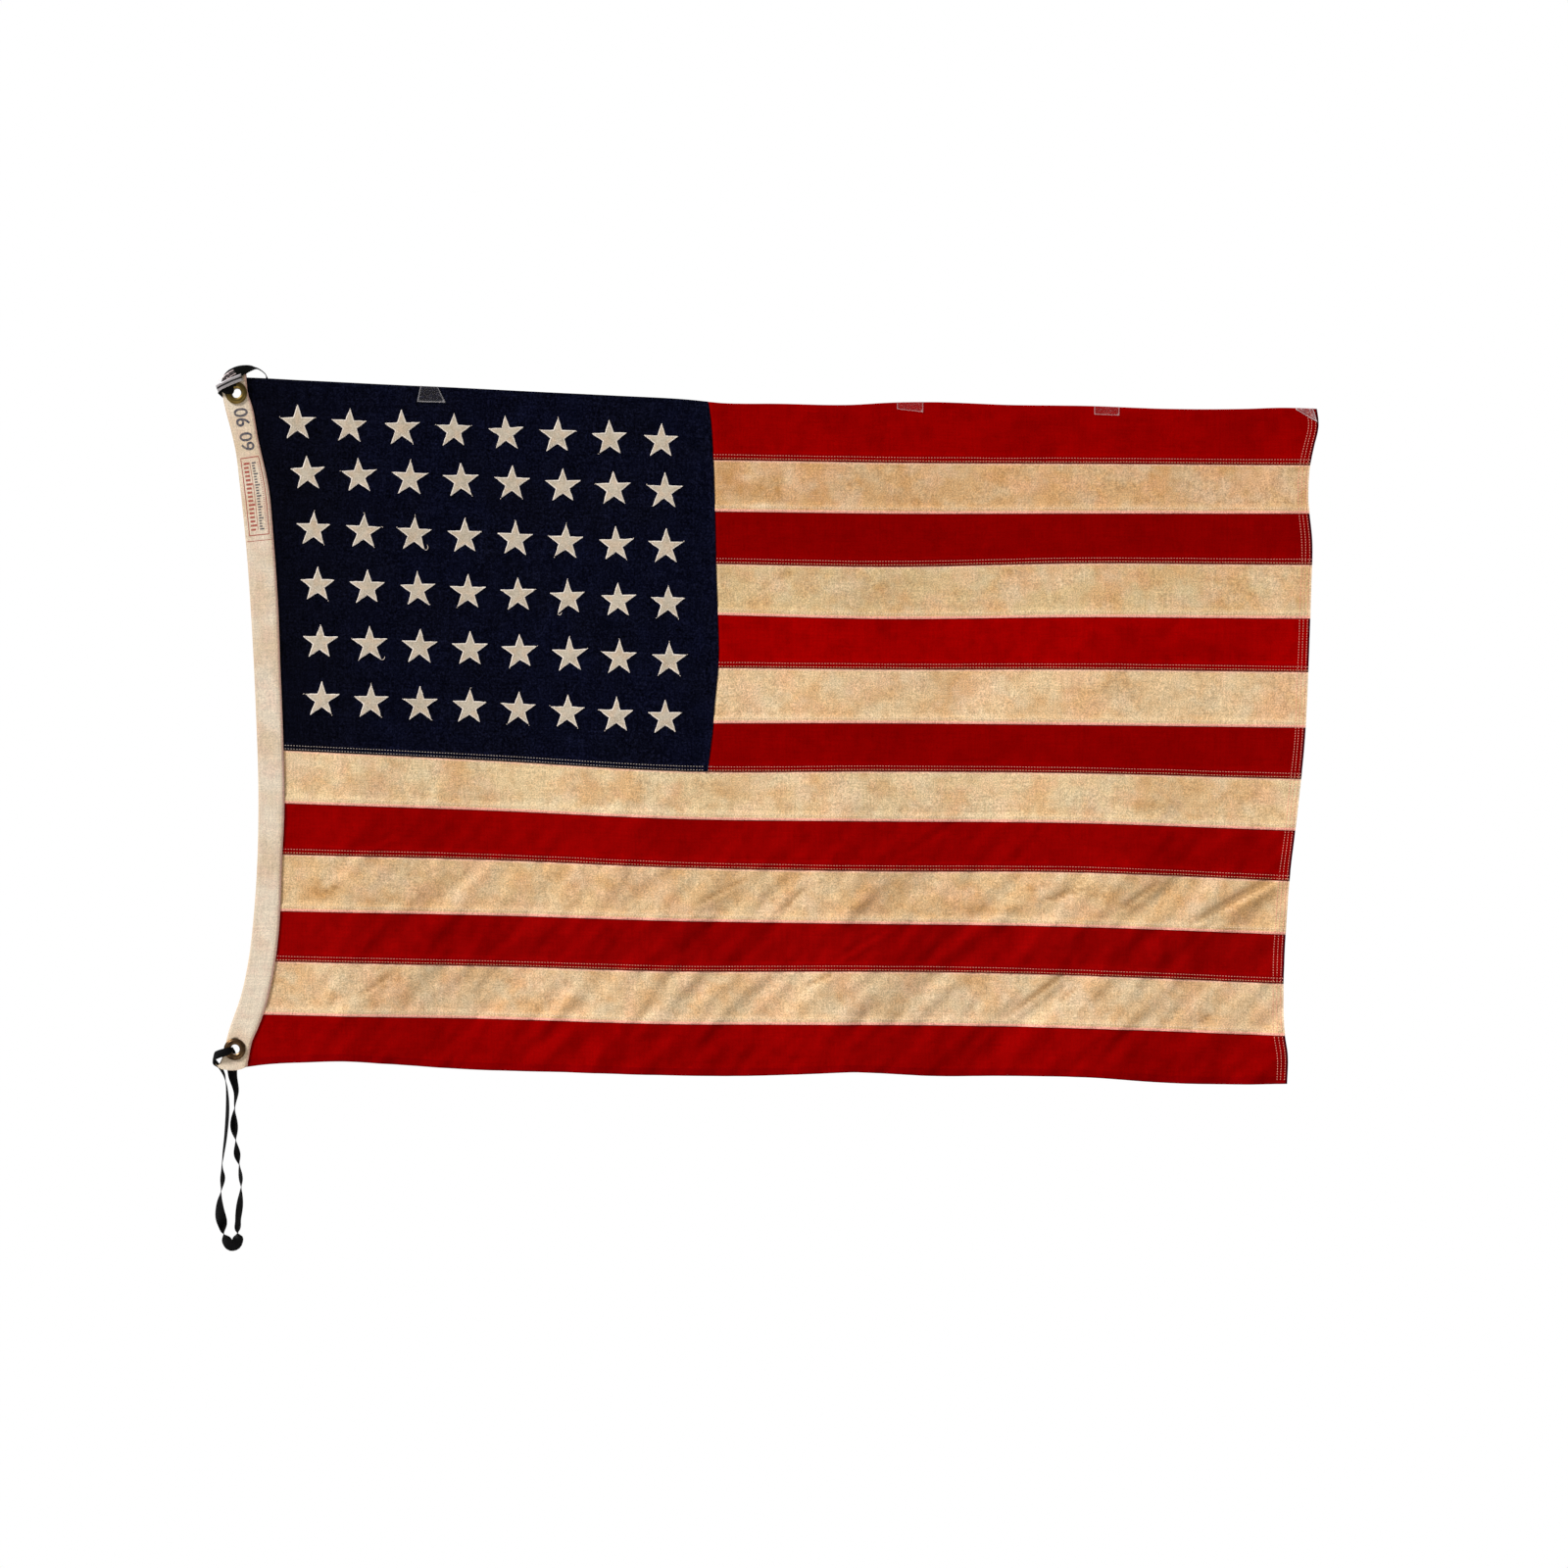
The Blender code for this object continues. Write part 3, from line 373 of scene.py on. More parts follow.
STAINS = [Stain(*row) for row in (
    (6, -80, 6, 8, 0.8), (-18, -75, 22, 8, 0.5), (40, -80, 8, 8, 0.5), (6, -64, 6, 4, 0.45),
    (-36, -62, 14, 12, 0.4), (-20, -65, 8, 4, -0.5), (-6, -90, 14, 3, -0.5), (114, -82, 12, 7, 0.4),
    (19, -149, 12, 5, 0.45), (93, -165, 22, 9, 0.45, 20), (-40, -147, 10, 8, 0.4), (229, -425, 4, 3, 0.9),
    (199, -444, 60, 5, 0.4), (82, -442, 35, 6, 0.4), (65, -520, 10, 8, 0.4), (111, -536, 14, 5, 0.4),
    (-386, -428, 14, 6, 0.7, 15), (-352, -437, 10, 5, 0.5), (420, -440, 26, 9, 0.5, 30),
    (-330, -505, 16, 7, 0.35, 35), (300, -250, 26, 8, 0.35), (150, -245, 18, 9, 0.3),
    (-250, -345, 30, 6, 0.3), (340, -352, 24, 6, 0.35), (-120, -430, 30, 10, 0.35, 20),
    (330, -530, 20, 8, 0.35, 35), (-40, -340, 16, 6, 0.35),
)]


def link(name: str, data: bpy.types.ID, material: Material | None = None) -> Object:
    """Makes the object of a mesh, a text, a lamp or a camera.

    Args:
        name: the object's name.
        data: what it shows.
        material: its finish, where it has none yet.

    Returns:
        The object, in the scene.
    """
    if material is not None:
        data.materials.append(material)
    obj = bpy.data.objects.new(name, data)
    bpy.context.scene.collection.objects.link(obj)
    return obj


def settle(holder: Object) -> bpy.types.Mesh:
    """Takes the plain mesh that an object's modifiers or text come to.

    Args:
        holder: the object, which goes.

    Returns:
        The mesh.
    """
    mesh = bpy.data.meshes.new_from_object(holder.evaluated_get(bpy.context.evaluated_depsgraph_get()))
    bpy.data.objects.remove(holder)
    return mesh


def build(name: str, points: Any, faces: list, material: Material, sharp: float = 40.0) -> Object:
    """Makes a smooth-shaded object from points in millimetres.

    Args:
        name: the piece's name.
        points: x, y and z for each vertex.
        faces: the vertices of each face.
        material: its finish.
        sharp: the angle past which an edge stays sharp, in degrees.

    Returns:
        The new object.
    """
    mesh = bpy.data.meshes.new(name)
    mesh.from_pydata((np.asarray(points, float).reshape(-1, 3) * MM).tolist(), [], faces)
    mesh.shade_smooth()
    mesh.set_sharp_from_angle(angle=math.radians(sharp))
    return link(name, mesh, material)


def thicken(obj: Object, thickness: float, offset: float = 0.0) -> Object:
    """Closes a sheet by giving it a thickness.

    Args:
        obj: the sheet.
        thickness: how thick, in millimetres.
        offset: -1 for all of it behind the faces, 0 for half on each side.

    Returns:
        The same object.
    """
    wall = obj.modifiers.new("wall", "SOLIDIFY")
    wall.thickness, wall.offset = thickness * MM, offset
    return obj


def declare(obj: Object, slot: str, *nodes: str) -> Object:
    """Sets a piece on the body and reports it.

    Args:
        obj: the piece.
        slot: its material's slot; not used.
        nodes: the solids that it stands for.

    Returns:
        The same object.
    """
    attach(obj, ROOT)
    if nodes:
        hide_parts(*nodes)
    LOG.info("%s: %d faces", obj.name, len(obj.data.polygons))
    return obj


def add_facts(obj: Object, facts: dict[str, Array], weave: Any) -> None:
    """Gives a mesh its float attributes and its UV map, both one value for each vertex.

    Args:
        obj: the piece.
        facts: the values of each attribute.
        weave: places in the cloth as it was cut, in metres.
    """
    mesh = obj.data
    for name, values in facts.items():
        attribute = mesh.attributes.new(name, "FLOAT", "POINT")
        attribute.data.foreach_set("value", np.ravel(values).astype(np.float32))
    corner = np.empty(len(mesh.loops), np.int32)
    mesh.loops.foreach_get("vertex_index", corner)
    uv = mesh.uv_layers.new(name="weave")
    uv.data.foreach_set("uv", np.reshape(weave, (-1, 2))[corner].astype(np.float32).ravel())


def grid_faces(rows: int, columns: int) -> list[tuple[int, ...]]:
    """The faces of a grid of points, row by row."""
    return [(a, a + 1, a + columns + 1, a + columns)
            for r in range(rows - 1) for a in range(r * columns, (r + 1) * columns - 1)]


def skin_faces(rows: int, columns: int) -> list[tuple[int, ...]]:
    """Faces of a closed sheet.

    Args:
        rows: rows of points in its front, which its back's points follow.
        columns: points in a row.

    Returns:
        The faces of both and of the four edges between them.
    """
    back = rows * columns
    faces = []
    for a, e, d, b in grid_faces(rows, columns):
        faces += [(a, b, d, e), (back + e, back + d, back + b, back + a)]
    for edge, turned in ((range(columns), False), (range(back - columns, back), True),
                         (range(0, back, columns), True), (range(columns - 1, back, columns), False)):
        for a, b in zip(edge[:-1], edge[1:]):
            face = (a, b, back + b, back + a)
            faces.append(face[::-1] if turned else face)
    return faces


@dataclass(frozen=True)
class Row:
    """A row of a panel: its share of the way down, and the lift of its front and back.

    above is an offset from the upper seam, which counts at share 0, and below one from the lower seam.
    """

    share: float
    above: float
    below: float
    front: float
    back: float


@dataclass
class Panel:
    """One cut piece of bunting, between two seams and two side edges.

    Stops are distances of the grid's first and last columns from an edge, close together where the
    cloth is hemmed or lapped. A lap lifts the cloth over, or under, its neighbour at an edge.
    """

    name: str
    number: int
    left: Curve
    right: Curve
    rows: list[Row]
    left_offset: float = 0.0
    right_offset: float = 0.0
    left_stops: tuple[float, ...] = (0.0,)
    right_stops: tuple[float, ...] = (0.0, 0.5, 1.4, 3.5, 5.7, 7.9, 10.0, 11.0)
    left_lap: float = 0.0
    right_lap: float = 0.0
    lap: float = 3.0
    pitch: float = 2.5
    hem: float = 10.5
    hem_back: float = 0.55
    pucker: float = 0.14
    soil_through: float = 0.35
    top_seam: int = 0
    x: Array = field(init=False)
    z: Array = field(init=False)

    def __post_init__(self) -> None:
        """Works out where the grid's points lie on the hung cloth."""
        upper, lower = SEAMS[self.top_seam], SEAMS[self.number]
        a, b = self.left_stops[-1], self.right_stops[-1]
        level = float(lower.at(0.0))
        width = float(self.right.at(level) - self.left.at(level))
        t = np.linspace(0.0, 1.0, max(2, int((width - a - b) / self.pitch)))
        share = np.concatenate([np.zeros(len(self.left_stops) - 1), t, np.ones(len(self.right_stops) - 1)])
        shift = np.concatenate([self.left_stops[:-1], (1 - t) * a - t * b,
                                -np.array(self.right_stops[-2::-1])])
        self.x, self.z = np.zeros((2, len(self.rows), len(share)))
        for x, z, row in zip(self.x, self.z, self.rows):
            x[:] = share * width - width / 2
            # A place and its height depend on each other, and five rounds settle them
            for _ in range(5):
                z[:] = (1 - row.share) * (upper.at(x) + row.above) + row.share * (lower.at(x) + row.below)
                near, far = self.left.at(z) + self.left_offset, self.right.at(z) + self.right_offset
                x[:] = near * (1 - share) + far * share + shift

    def make(self, material: Material) -> Object:
        """Builds the panel as a closed sheet.

        Args:
            material: its finish.

        Returns:
            The piece, with the distances that its material reads, in millimetres.
        """
        x, z = self.x, self.z
        from_top, from_foot = SEAMS[self.top_seam].at(x) - z, z - SEAMS[self.number].at(x)
        from_left = x - self.left.at(z) - self.left_offset
        from_right = self.right.at(z) + self.right_offset - x
        # The stitches draw the cloth in small puckers, strongest between a seam's two rows
        near = np.exp(-((np.minimum(np.abs(from_foot - 3.0), np.abs(from_top + 3.0)) / 5.0) ** 2))
        middle = CLOTH.lift(x, z) + self.pucker * near * ripple(x, z, 5.0, 60.0, 0.0, self.number)
        middle = middle + self.left_lap * (from_left < self.lap) + self.right_lap * (from_right < self.lap)
        front = middle + np.array([[row.front] for row in self.rows])
        back = middle + np.array([[row.back] for row in self.rows]) - self.hem_back * (from_right < self.hem)
        obj = build(self.name, [lay(x, lift, z) for lift in (front, back)], skin_faces(*x.shape), material)
        stain = sum(s.at(x, z) for s in STAINS)
        # Darker in the creases' troughs: painted shade in the creases, with some dirt; the back takes a share
        # of it.
        soil = sum(np.clip(-f.lift(x, z), 0, None) for f in CLOTH.folds if f.shape is FoldShape.CREASE)
        # The tongue under the next strip is too far from its top edge to take that edge's tint
        facts = {"from_top": np.where(from_top < -1.0, 9.0, from_top), "from_foot": from_foot,
                 "from_left": from_left, "from_right": from_right, "stain": stain}
        both = {name: np.stack([value, value]) for name, value in facts.items()}
        both["soil"] = np.stack([soil, soil * self.soil_through])
        weave = np.stack([x - self.x.min(), -from_top], -1) * MM
        add_facts(obj, both, [weave, weave])
        return obj

    def flat(self) -> Spot:
        """The cut size, seam allowances and hem among it, in metres."""
        middle, column = len(self.rows) // 2, self.x.shape[1] // 2
        width = float(self.x[middle, -1] - self.x[middle, 0] + self.hem)
        return round(width * MM, 4), round(float(self.z[0, column] - self.z[-1, column]) * MM, 4)


@dataclass(frozen=True)
class Field:
    """The striped field and the canton: sizes of the cloth and its seams.

    At a seam the upper strip's margin lies over the next strip's tongue. Both are (front, back)
    lifts; fell is the margin's height over the seam, and reach the tongue's.
    """

    half: float = 0.3
    margin: Spot = (0.75, 0.15)
    tongue: Spot = (-0.15, -0.75)
    fell: float = 6.2
    reach: float = 5.7
    step: float = 0.8
    row_pitch: float = 2.7
    tuck: float = 3.0
    field_in: float = 4.0
    lap_stops: tuple[float, ...] = (0.0, 2.6, 3.4)
    lap: float = 0.45

    def rows(self, upper: int, lower: int) -> list[Row]:
        """The rows of a panel, its tongue and its margin among them.

        Args:
            upper: the number of the seam above it, 0 for the top edge.
            lower: the number of the seam below it.

        Returns:
            The rows from the top down.
        """
        h = self.half
        if upper:
            rows = [Row(0, above, 0, *self.tongue) for above in (self.reach, 2.6, -0.3)]
        else:
            rows = [Row(0, 0, 0, 0.1, -0.1), Row(0, -0.35, 0, h, -h)]
        start = -0.7 if upper else -1.2
        stop = 1.2 if lower == STRIPES else self.fell + self.step
        height = float(SEAMS[upper].at(0.0) - SEAMS[lower].at(0.0)) + start - stop
        count = max(4, round(height / self.row_pitch))
        rows += [Row(i / count, start, stop, h, -h) for i in range(count + 1)]
        if lower == STRIPES:
            return rows + [Row(1, 0, 0.35, h, -h), Row(1, 0, 0, 0.1, -0.1)]
        front, back = self.margin
        rows += [Row(1, 0, below, front, back) for below in (self.fell, 4.4, 2.9, 1.4, 0.3)]
        return rows + [Row(1, 0, 0.0, front - 0.25, back)]

    def panel(self, name: str, number: int, upper: int, left: Curve, right: Curve, **sizes: Any) -> Panel:
        """A panel of the field, between two seams."""
        return Panel(name, number, left, right, self.rows(upper, number), top_seam=upper, **sizes)

    def stripe(self, number: int) -> Panel:
        """The panel of one stripe, which starts under the canton's edge or in the heading.

        Args:
            number: which stripe, from the top.

        Returns:
            Its panel.
        """
        name, upper = f"stripe_cloth_{number:02d}", number - 1
        if number > CANTON_STRIPES:
            return self.panel(name, number, upper, HOIST_LINE, FLY_LINE, left_offset=-self.field_in)
        return self.panel(name, number, upper, CANTON_LINE, FLY_LINE, left_offset=-self.tuck,
                          left_stops=self.lap_stops, left_lap=-self.lap, pitch=3.0)

    def canton(self) -> Panel:
        """The panel of the canton."""
        return self.panel("canton_cloth", CANTON_STRIPES, 0, HOIST_LINE, CANTON_LINE, pitch=3.0, hem=0.0,
                          left_offset=-self.field_in, right_offset=-0.15, right_stops=self.lap_stops,
                          right_lap=self.lap)

    def face(self, x: Array, z: Array, side: int) -> Array:
        """The lift of the cloth's surface, its seams among it.

        Args:
            x: places along the fly.
            z: heights.
            side: the front or the back.

        Returns:
            The lift at each place.
        """
        lift = np.full(np.shape(x), self.half)
        for number in range(1, STRIPES):
            above = z - SEAMS[number].at(x)
            sewn = (above >= 0.0) & (above <= self.fell)
            if number < CANTON_STRIPES:
                sewn &= x > CANTON_LINE.at(z)
            lift = np.where(sewn, self.margin[0], lift)
        return CLOTH.lift(x, z) + side * lift


FIELD = Field()


@dataclass(frozen=True)
class Finish:
    """A finish of one piece or more."""

    name: str

    def surface(self, add: Callable[..., Any]) -> dict[str, Any]:
        """Makes the pattern of this kind of finish.

        Args:
            add: add_node on the finish's own tree.

        Returns:
            The shader's inputs.
        """
        raise NotImplementedError

    def material(self) -> Material:
        """Builds the finish: its pattern, its shader and the output.

        Returns:
            The material.
        """
        material = bpy.data.materials.new(self.name)
        material.use_nodes = True
        material.node_tree.nodes.clear()
        add = partial(add_node, material.node_tree)
        shader = add("ShaderNodeBsdfPrincipled", self.surface(add))
        add("ShaderNodeOutputMaterial", {"Surface": shader})
        return material


@dataclass(frozen=True)
class Cotton(Finish):
    """Plain-woven cotton: matt, with a fine thread grain, uneven dye, old dirt and stains, and painted shade
    in its creases.

    mottles are (colour, size, share, seed); bands are (distance, clear at, full at, colour, share),
    where a distance is one of a panel's attributes, in millimetres. Threads are about 0.4 apart;
    the grain is drawn at 1.1 and the streaks at 1.6, as fine as the picture can show. Counts are
    per metre: 900 grains, and 620 streaks that are a fortieth of a metre long.
    """

    ground: str
    mottles: tuple[tuple[str, float, float, float], ...]
    bands: tuple[tuple[str, float, float, str, float], ...]
    grain: float = 0.16
    streak: float = 0.12
    stain_share: float = 0.0
    thread: float = 0.45
    relief: float = 0.25
    gloss: float = 0.0
    grains: float = 900.0
    streaks: Spot = (40.0, 620.0)
    stain_spots: float = 130.0

    def layers(self, add: Callable[..., Any], place: Any) -> list[tuple[Any, str]]:
        """The tints over the ground.

        Args:
            add: add_node on the finish's own tree.
            place: the Object coordinates.

        Returns:
            Each tint's amount and colour, from the lowest up.
        """
        layers = []
        for tint, size, share, seed in self.mottles:
            spot = add("ShaderNodeMapping", {"Vector": place, "Location": (seed, seed * 0.7, -seed)})
            cloud = add("ShaderNodeTexNoise", {"Vector": spot, "Scale": 1 / (size * MM), "Detail": 3.0,
                                               "Roughness": 0.55})
            layers.append((add("ShaderNodeMapRange", {0: cloud, 1: 0.42, 2: 0.68, 4: share},
                               interpolation_type="SMOOTHSTEP"), tint))
        for fact, clear, full, tint, share in self.bands:
            value = add("ShaderNodeAttribute", out="Fac", attribute_name=fact)
            layers.append((add("ShaderNodeMapRange", {0: value, 1: clear, 2: full, 4: share},
                               interpolation_type="SMOOTHSTEP"), tint))
        if self.stain_share:
            stain, soil = [add("ShaderNodeAttribute", out="Fac", attribute_name=fact)
                           for fact in ("stain", "soil")]
            spots = add("ShaderNodeTexNoise", {"Vector": place, "Scale": self.stain_spots, "Detail": 3.0})
            uneven = add("ShaderNodeMath", {0: stain, 1: spots}, operation="MULTIPLY")
            # Stains, paler places, then the creases darkened with painted shade and some dirt.
            for value, full, share, tint in ((uneven, 0.55, self.stain_share, "#a8712c"),
                                             (stain, -0.6, 0.5, "#e6d9bd"), (soil, 0.6, 0.55, "#8c6436")):
                layers.append((add("ShaderNodeMapRange", {0: value, 2: full, 4: share}), tint))
        return layers

    def surface(self, add: Callable[..., Any]) -> dict[str, Any]:
        """Lays the tints over the ground, then varies them thread by thread.

        Args:
            add: add_node on the finish's own tree.

        Returns:
            The shader's inputs.
        """
        place = add("ShaderNodeTexCoord", out="Object")
        weave = add("ShaderNodeUVMap", uv_map="weave")
        shade = to_linear(self.ground)
        for amount, tint in self.layers(add, place):
            shade = add("ShaderNodeMix", {0: amount, 6: shade, 7: to_linear(tint)}, 2, data_type="RGBA")
        grain = add("ShaderNodeTexNoise", {"Vector": place, "Scale": self.grains, "Detail": 2.0})
        threads = [(grain, self.grain)]
        for size in (self.streaks, self.streaks[::-1]):
            stretch = add("ShaderNodeMapping", {"Vector": weave, "Scale": (*size, 1.0)})
            lines = add("ShaderNodeTexNoise", {"Vector": stretch, "Scale": 1.0, "Detail": 2.0})
            threads.append((lines, self.streak))
        for pattern, swing in threads:
            factor = add("ShaderNodeMapRange", {0: pattern, 1: 0.25, 2: 0.75, 3: 1 - swing, 4: 1 + swing})
            shade = add("ShaderNodeVectorMath", {0: shade, "Scale": factor}, operation="SCALE")
        # A band of the wave is two threads wide, and Blender's bands are pi / 10 wide at a scale of 1
        fine = math.pi / (20 * self.thread * MM)
        weft, warp = [add("ShaderNodeTexWave", {"Vector": weave, "Scale": fine}, "Fac", bands_direction=axis)
                      for axis in "XY"]
        under = add("ShaderNodeMath", {0: 1.0, 1: warp}, operation="SUBTRACT")
        height = add("ShaderNodeMix", {0: weft, 2: under, 3: warp}, data_type="FLOAT")
        bump = add("ShaderNodeBump", {"Strength": self.relief, "Distance": 0.2 * MM, "Height": height})
        return {"Base Color": shade, "Roughness": 0.95, "Normal": bump, "Specular IOR Level": self.gloss}


WHITE_MOTTLES = (("#c98f52", 36.0, 0.48, 1.3), ("#e9b79a", 24.0, 0.28, 4.1), ("#cfc8ae", 19.0, 0.25, 7.7),
                 ("#b07c44", 10.0, 0.24, 2.9))
WHITE_BANDS = (("from_foot", 7.2, 6.0, "#e0c39c", 0.2), ("from_foot", 2.7, 1.7, "#ee9f90", 0.9),
               ("from_top", 2.4, 0.9, "#f6bca8", 0.6), ("from_right", 2.0, 0.8, "#ecd0b4", 0.5))
RED_MOTTLES = (("#7a0001", 60.0, 0.45, 3.1), ("#680000", 17.0, 0.3, 5.3))
# All three red bands are painted shade: over the lapped margin between and below its stitched rows, along the
# folded foot edge, and along the hem fold at the fly.
RED_PAINTED_SHADE_BANDS = (("from_foot", 6.9, 6.2, "#6f0004", 0.4), ("from_foot", 1.3, 0.5, "#4c0006", 0.5),
             ("from_right", 2.1, 1.2, "#20060e", 0.9))
RED = Cotton("red_cotton", "#950202", RED_MOTTLES, RED_PAINTED_SHADE_BANDS, grain=0.14, streak=0.08)
WHITE = Cotton("white_cotton", "#dcb889", WHITE_MOTTLES, WHITE_BANDS, grain=0.42, streak=0.09,
               stain_share=0.8, gloss=0.08)
# The small light #23263f speckles are painted highlights on the threads.
NAVY = Cotton("navy_cotton", "#060713", (("#0e1126", 20.0, 0.3, 2.2), ("#08080e", 55.0, 0.4, 6.4),
                                         ("#23263f", 2.2, 0.2, 9.4)),
              (("from_left", 130.0, 10.0, "#08080e", 0.6),), grain=1.0, streak=0.28)
STAR_WHITE = Cotton("star_cotton", "#bdb19f", (("#a39681", 9.0, 0.5, 1.9), ("#cfae8f", 7.0, 0.35, 5.5)),
                    (("from_edge", 2.2, 0.9, "#ece2d8", 0.8),), grain=0.25, streak=0.06, gloss=0.08)
# The grey-brown band at the left edge is painted shade on the heading's rounded fold.
CANVAS = Cotton("heading_canvas", "#dccdb8", (("#c8a982", 40.0, 0.5, 2.7), ("#dcbba8", 16.0, 0.4, 8.3)),
                (("from_left", 2.4, 0.2, "#a8937a", 0.6), ("from_right", 2.2, 0.8, "#e8b3a6", 0.7)),
                grain=0.25, streak=0.09, thread=0.7, relief=0.5, gloss=0.08)
# Each stripe's own shade: the reds and the whites come from different bolts
STRIPE_GROUNDS = ("#8f0101", "#caa273", "#800101", "#ceb285", "#980101", "#dcbd92", "#830101", "#dcc196",
                  "#8c0202", "#d5b386", "#8a0303", "#d5b78f", "#8b0202")


@dataclass(frozen=True)
class Patchy(Finish):
    """A finish of two colours in patches.

    spots is the patches' count per metre. The second colour shows by shares, from the least to the
    most, as the pattern runs through window.
    """

    colour: str
    other: str
    spots: float = 700.0
    detail: float = 3.0
    window: Spot = (0.35, 0.65)
    shares: Spot = (0.0, 0.3)

    def patches(self, add: Callable[..., Any], place: Any) -> tuple[Any, Any]:
        """Mixes the two colours.

        Args:
            add: add_node on the finish's own tree.
            place: the coordinates that the patches lie on.

        Returns:
            The pattern and the mixed colour.
        """
        pattern = add("ShaderNodeTexNoise", {"Vector": place, "Scale": self.spots, "Detail": self.detail})
        (low, high), (least, most) = self.window, self.shares
        amount = add("ShaderNodeMapRange", {0: pattern, 1: low, 2: high, 3: least, 4: most})
        shade = add("ShaderNodeMix", {0: amount, 6: to_linear(self.colour), 7: to_linear(self.other)}, 2,
                    data_type="RGBA")
        return pattern, shade


@dataclass(frozen=True)
class Ink(Patchy):
    """Stamping ink sunk into canvas: matt, and patchy where the canvas shows through."""

    other: str = "#cdb79b"

    def surface(self, add: Callable[..., Any]) -> dict[str, Any]:
        """The shader's inputs."""
        _, shade = self.patches(add, add("ShaderNodeTexCoord", out="Object"))
        return {"Base Color": shade, "Roughness": 0.95}


@dataclass(frozen=True)
class Thread(Patchy):
    """Mercerised sewing cotton: one even colour with a slight lustre, worn to brown in places."""

    other: str = "#b08a64"
    spots: float = 260.0
    detail: float = 2.0
    window: Spot = (0.35, 0.7)
    shares: Spot = (0.0, 0.35)

    def surface(self, add: Callable[..., Any]) -> dict[str, Any]:
        """The shader's inputs."""
        _, shade = self.patches(add, add("ShaderNodeTexCoord", out="Object"))
        return {"Base Color": shade, "Roughness": 0.7, "Specular IOR Level": 0.2}


@dataclass(frozen=True)
class AgedBrass(Patchy):
    """Pressed brass, darkened by age to bronze in patches, with rubbed bright places between them."""

    spots: float = 190.0
    detail: float = 4.0

    def surface(self, add: Callable[..., Any]) -> dict[str, Any]:
        """Adds roughness and shallow pits where the tarnish is.

        Args:
            add: add_node on the finish's own tree.

        Returns:
            The shader's inputs.
        """
        tarnish, shade = self.patches(add, add("ShaderNodeTexCoord", out="Object"))
        rough = add("ShaderNodeMapRange", {0: tarnish, 1: 0.3, 2: 0.7, 3: 0.28, 4: 0.55})
        pits = add("ShaderNodeBump", {"Strength": 0.2, "Distance": 0.2 * MM, "Height": tarnish})
        return {"Base Color": shade, "Metallic": 1.0, "Roughness": rough, "Normal": pits}


@dataclass(frozen=True)
class BlackRibbon(Patchy):
    """Ribbed rayon ribbon: black, dusty, with a soft lustre on the ribs, which are drawn 1.3 apart."""

    spots: float = 400.0
    window: Spot = (0.5, 0.8)
    shares: Spot = (0.0, 0.4)
    rib: float = 1.3

    def surface(self, add: Callable[..., Any]) -> dict[str, Any]:
        """Adds the ribs.

        Args:
            add: add_node on the finish's own tree.

        Returns:
            The shader's inputs.
        """
        weave = add("ShaderNodeUVMap", uv_map="weave")
        _, shade = self.patches(add, weave)
        ribs = add("ShaderNodeTexWave", {"Vector": weave, "Scale": math.pi / (10 * self.rib * MM)}, "Fac",
                   bands_direction="Y")
        bump = add("ShaderNodeBump", {"Strength": 0.5, "Distance": 0.2 * MM, "Height": ribs})
        return {"Base Color": shade, "Roughness": 0.6, "Normal": bump, "Specular IOR Level": 0.08}


@dataclass(frozen=True)
class ClearTape(Finish):
    """Clear adhesive tape: a glossy film that shows the cloth, with painted highlights along its edges.

    body and edge are each a colour and how much the film hides what is behind it. The film is
    painted brightest, as highlight, within reach of its edge, in a painted highlight band (its distance from
    the edge, half width and strength), and by painted glints in its bubbles, of which there are 420 per
    metre.
    """

    body: tuple[str, float] = ("#d9d4d6", 0.015)
    edge: tuple[str, float] = ("#d9d4d6", 0.2)
    reach: Spot = (0.3, 0.9)
    highlight_band: tuple[float, float, float] = (0.0, 0.0, 0.0)
    glint: float = 0.1
    bubbles: float = 420.0

    def surface(self, add: Callable[..., Any]) -> dict[str, Any]:
        """Paints highlights on the film by its distance from its edge, and glints in its bubbles.

        Args:
            add: add_node on the finish's own tree.

        Returns:
            The shader's inputs.
        """
        edge = add("ShaderNodeAttribute", out="Fac", attribute_name="from_edge")
        # Painted highlight along the film's edges.
        rim = add("ShaderNodeMapRange", {0: edge, 1: self.reach[1], 2: self.reach[0]},
                  interpolation_type="SMOOTHSTEP")
        # A painted highlight band at a set distance from the edge.
        middle, half, share = self.highlight_band
        off = add("ShaderNodeMath", {0: edge, 1: middle}, operation="SUBTRACT")
        away = add("ShaderNodeMath", {0: off}, operation="ABSOLUTE")
        band = add("ShaderNodeMapRange", {0: away, 1: half, 4: share})
        bubbles = add("ShaderNodeTexNoise", {"Vector": add("ShaderNodeTexCoord", out="Object"),
                                             "Scale": self.bubbles, "Detail": 2.0})
        # Painted glints in the bubbles.
        bright = add("ShaderNodeMapRange", {0: bubbles, 1: 0.58, 2: 0.68, 4: self.glint})
        for other in (rim, band):
            bright = add("ShaderNodeMath", {0: bright, 1: other}, operation="MAXIMUM")
        alpha = add("ShaderNodeMapRange", {0: bright, 3: self.body[1], 4: self.edge[1]})
        tint = add("ShaderNodeMix", {0: bright, 6: to_linear(self.body[0]), 7: to_linear(self.edge[0])}, 2,
                   data_type="RGBA")
        bump = add("ShaderNodeBump", {"Strength": 0.4, "Distance": 0.3 * MM, "Height": bubbles})
        return {"Base Color": tint, "Roughness": 0.22, "Alpha": alpha, "Normal": bump}


@dataclass(frozen=True)
class Paper(Finish):
    """Pale matt paper."""

    def surface(self, add: Callable[..., Any]) -> dict[str, Any]:
        """The shader's inputs."""
        return {"Base Color": to_linear("#dad7d2"), "Roughness": 0.9}


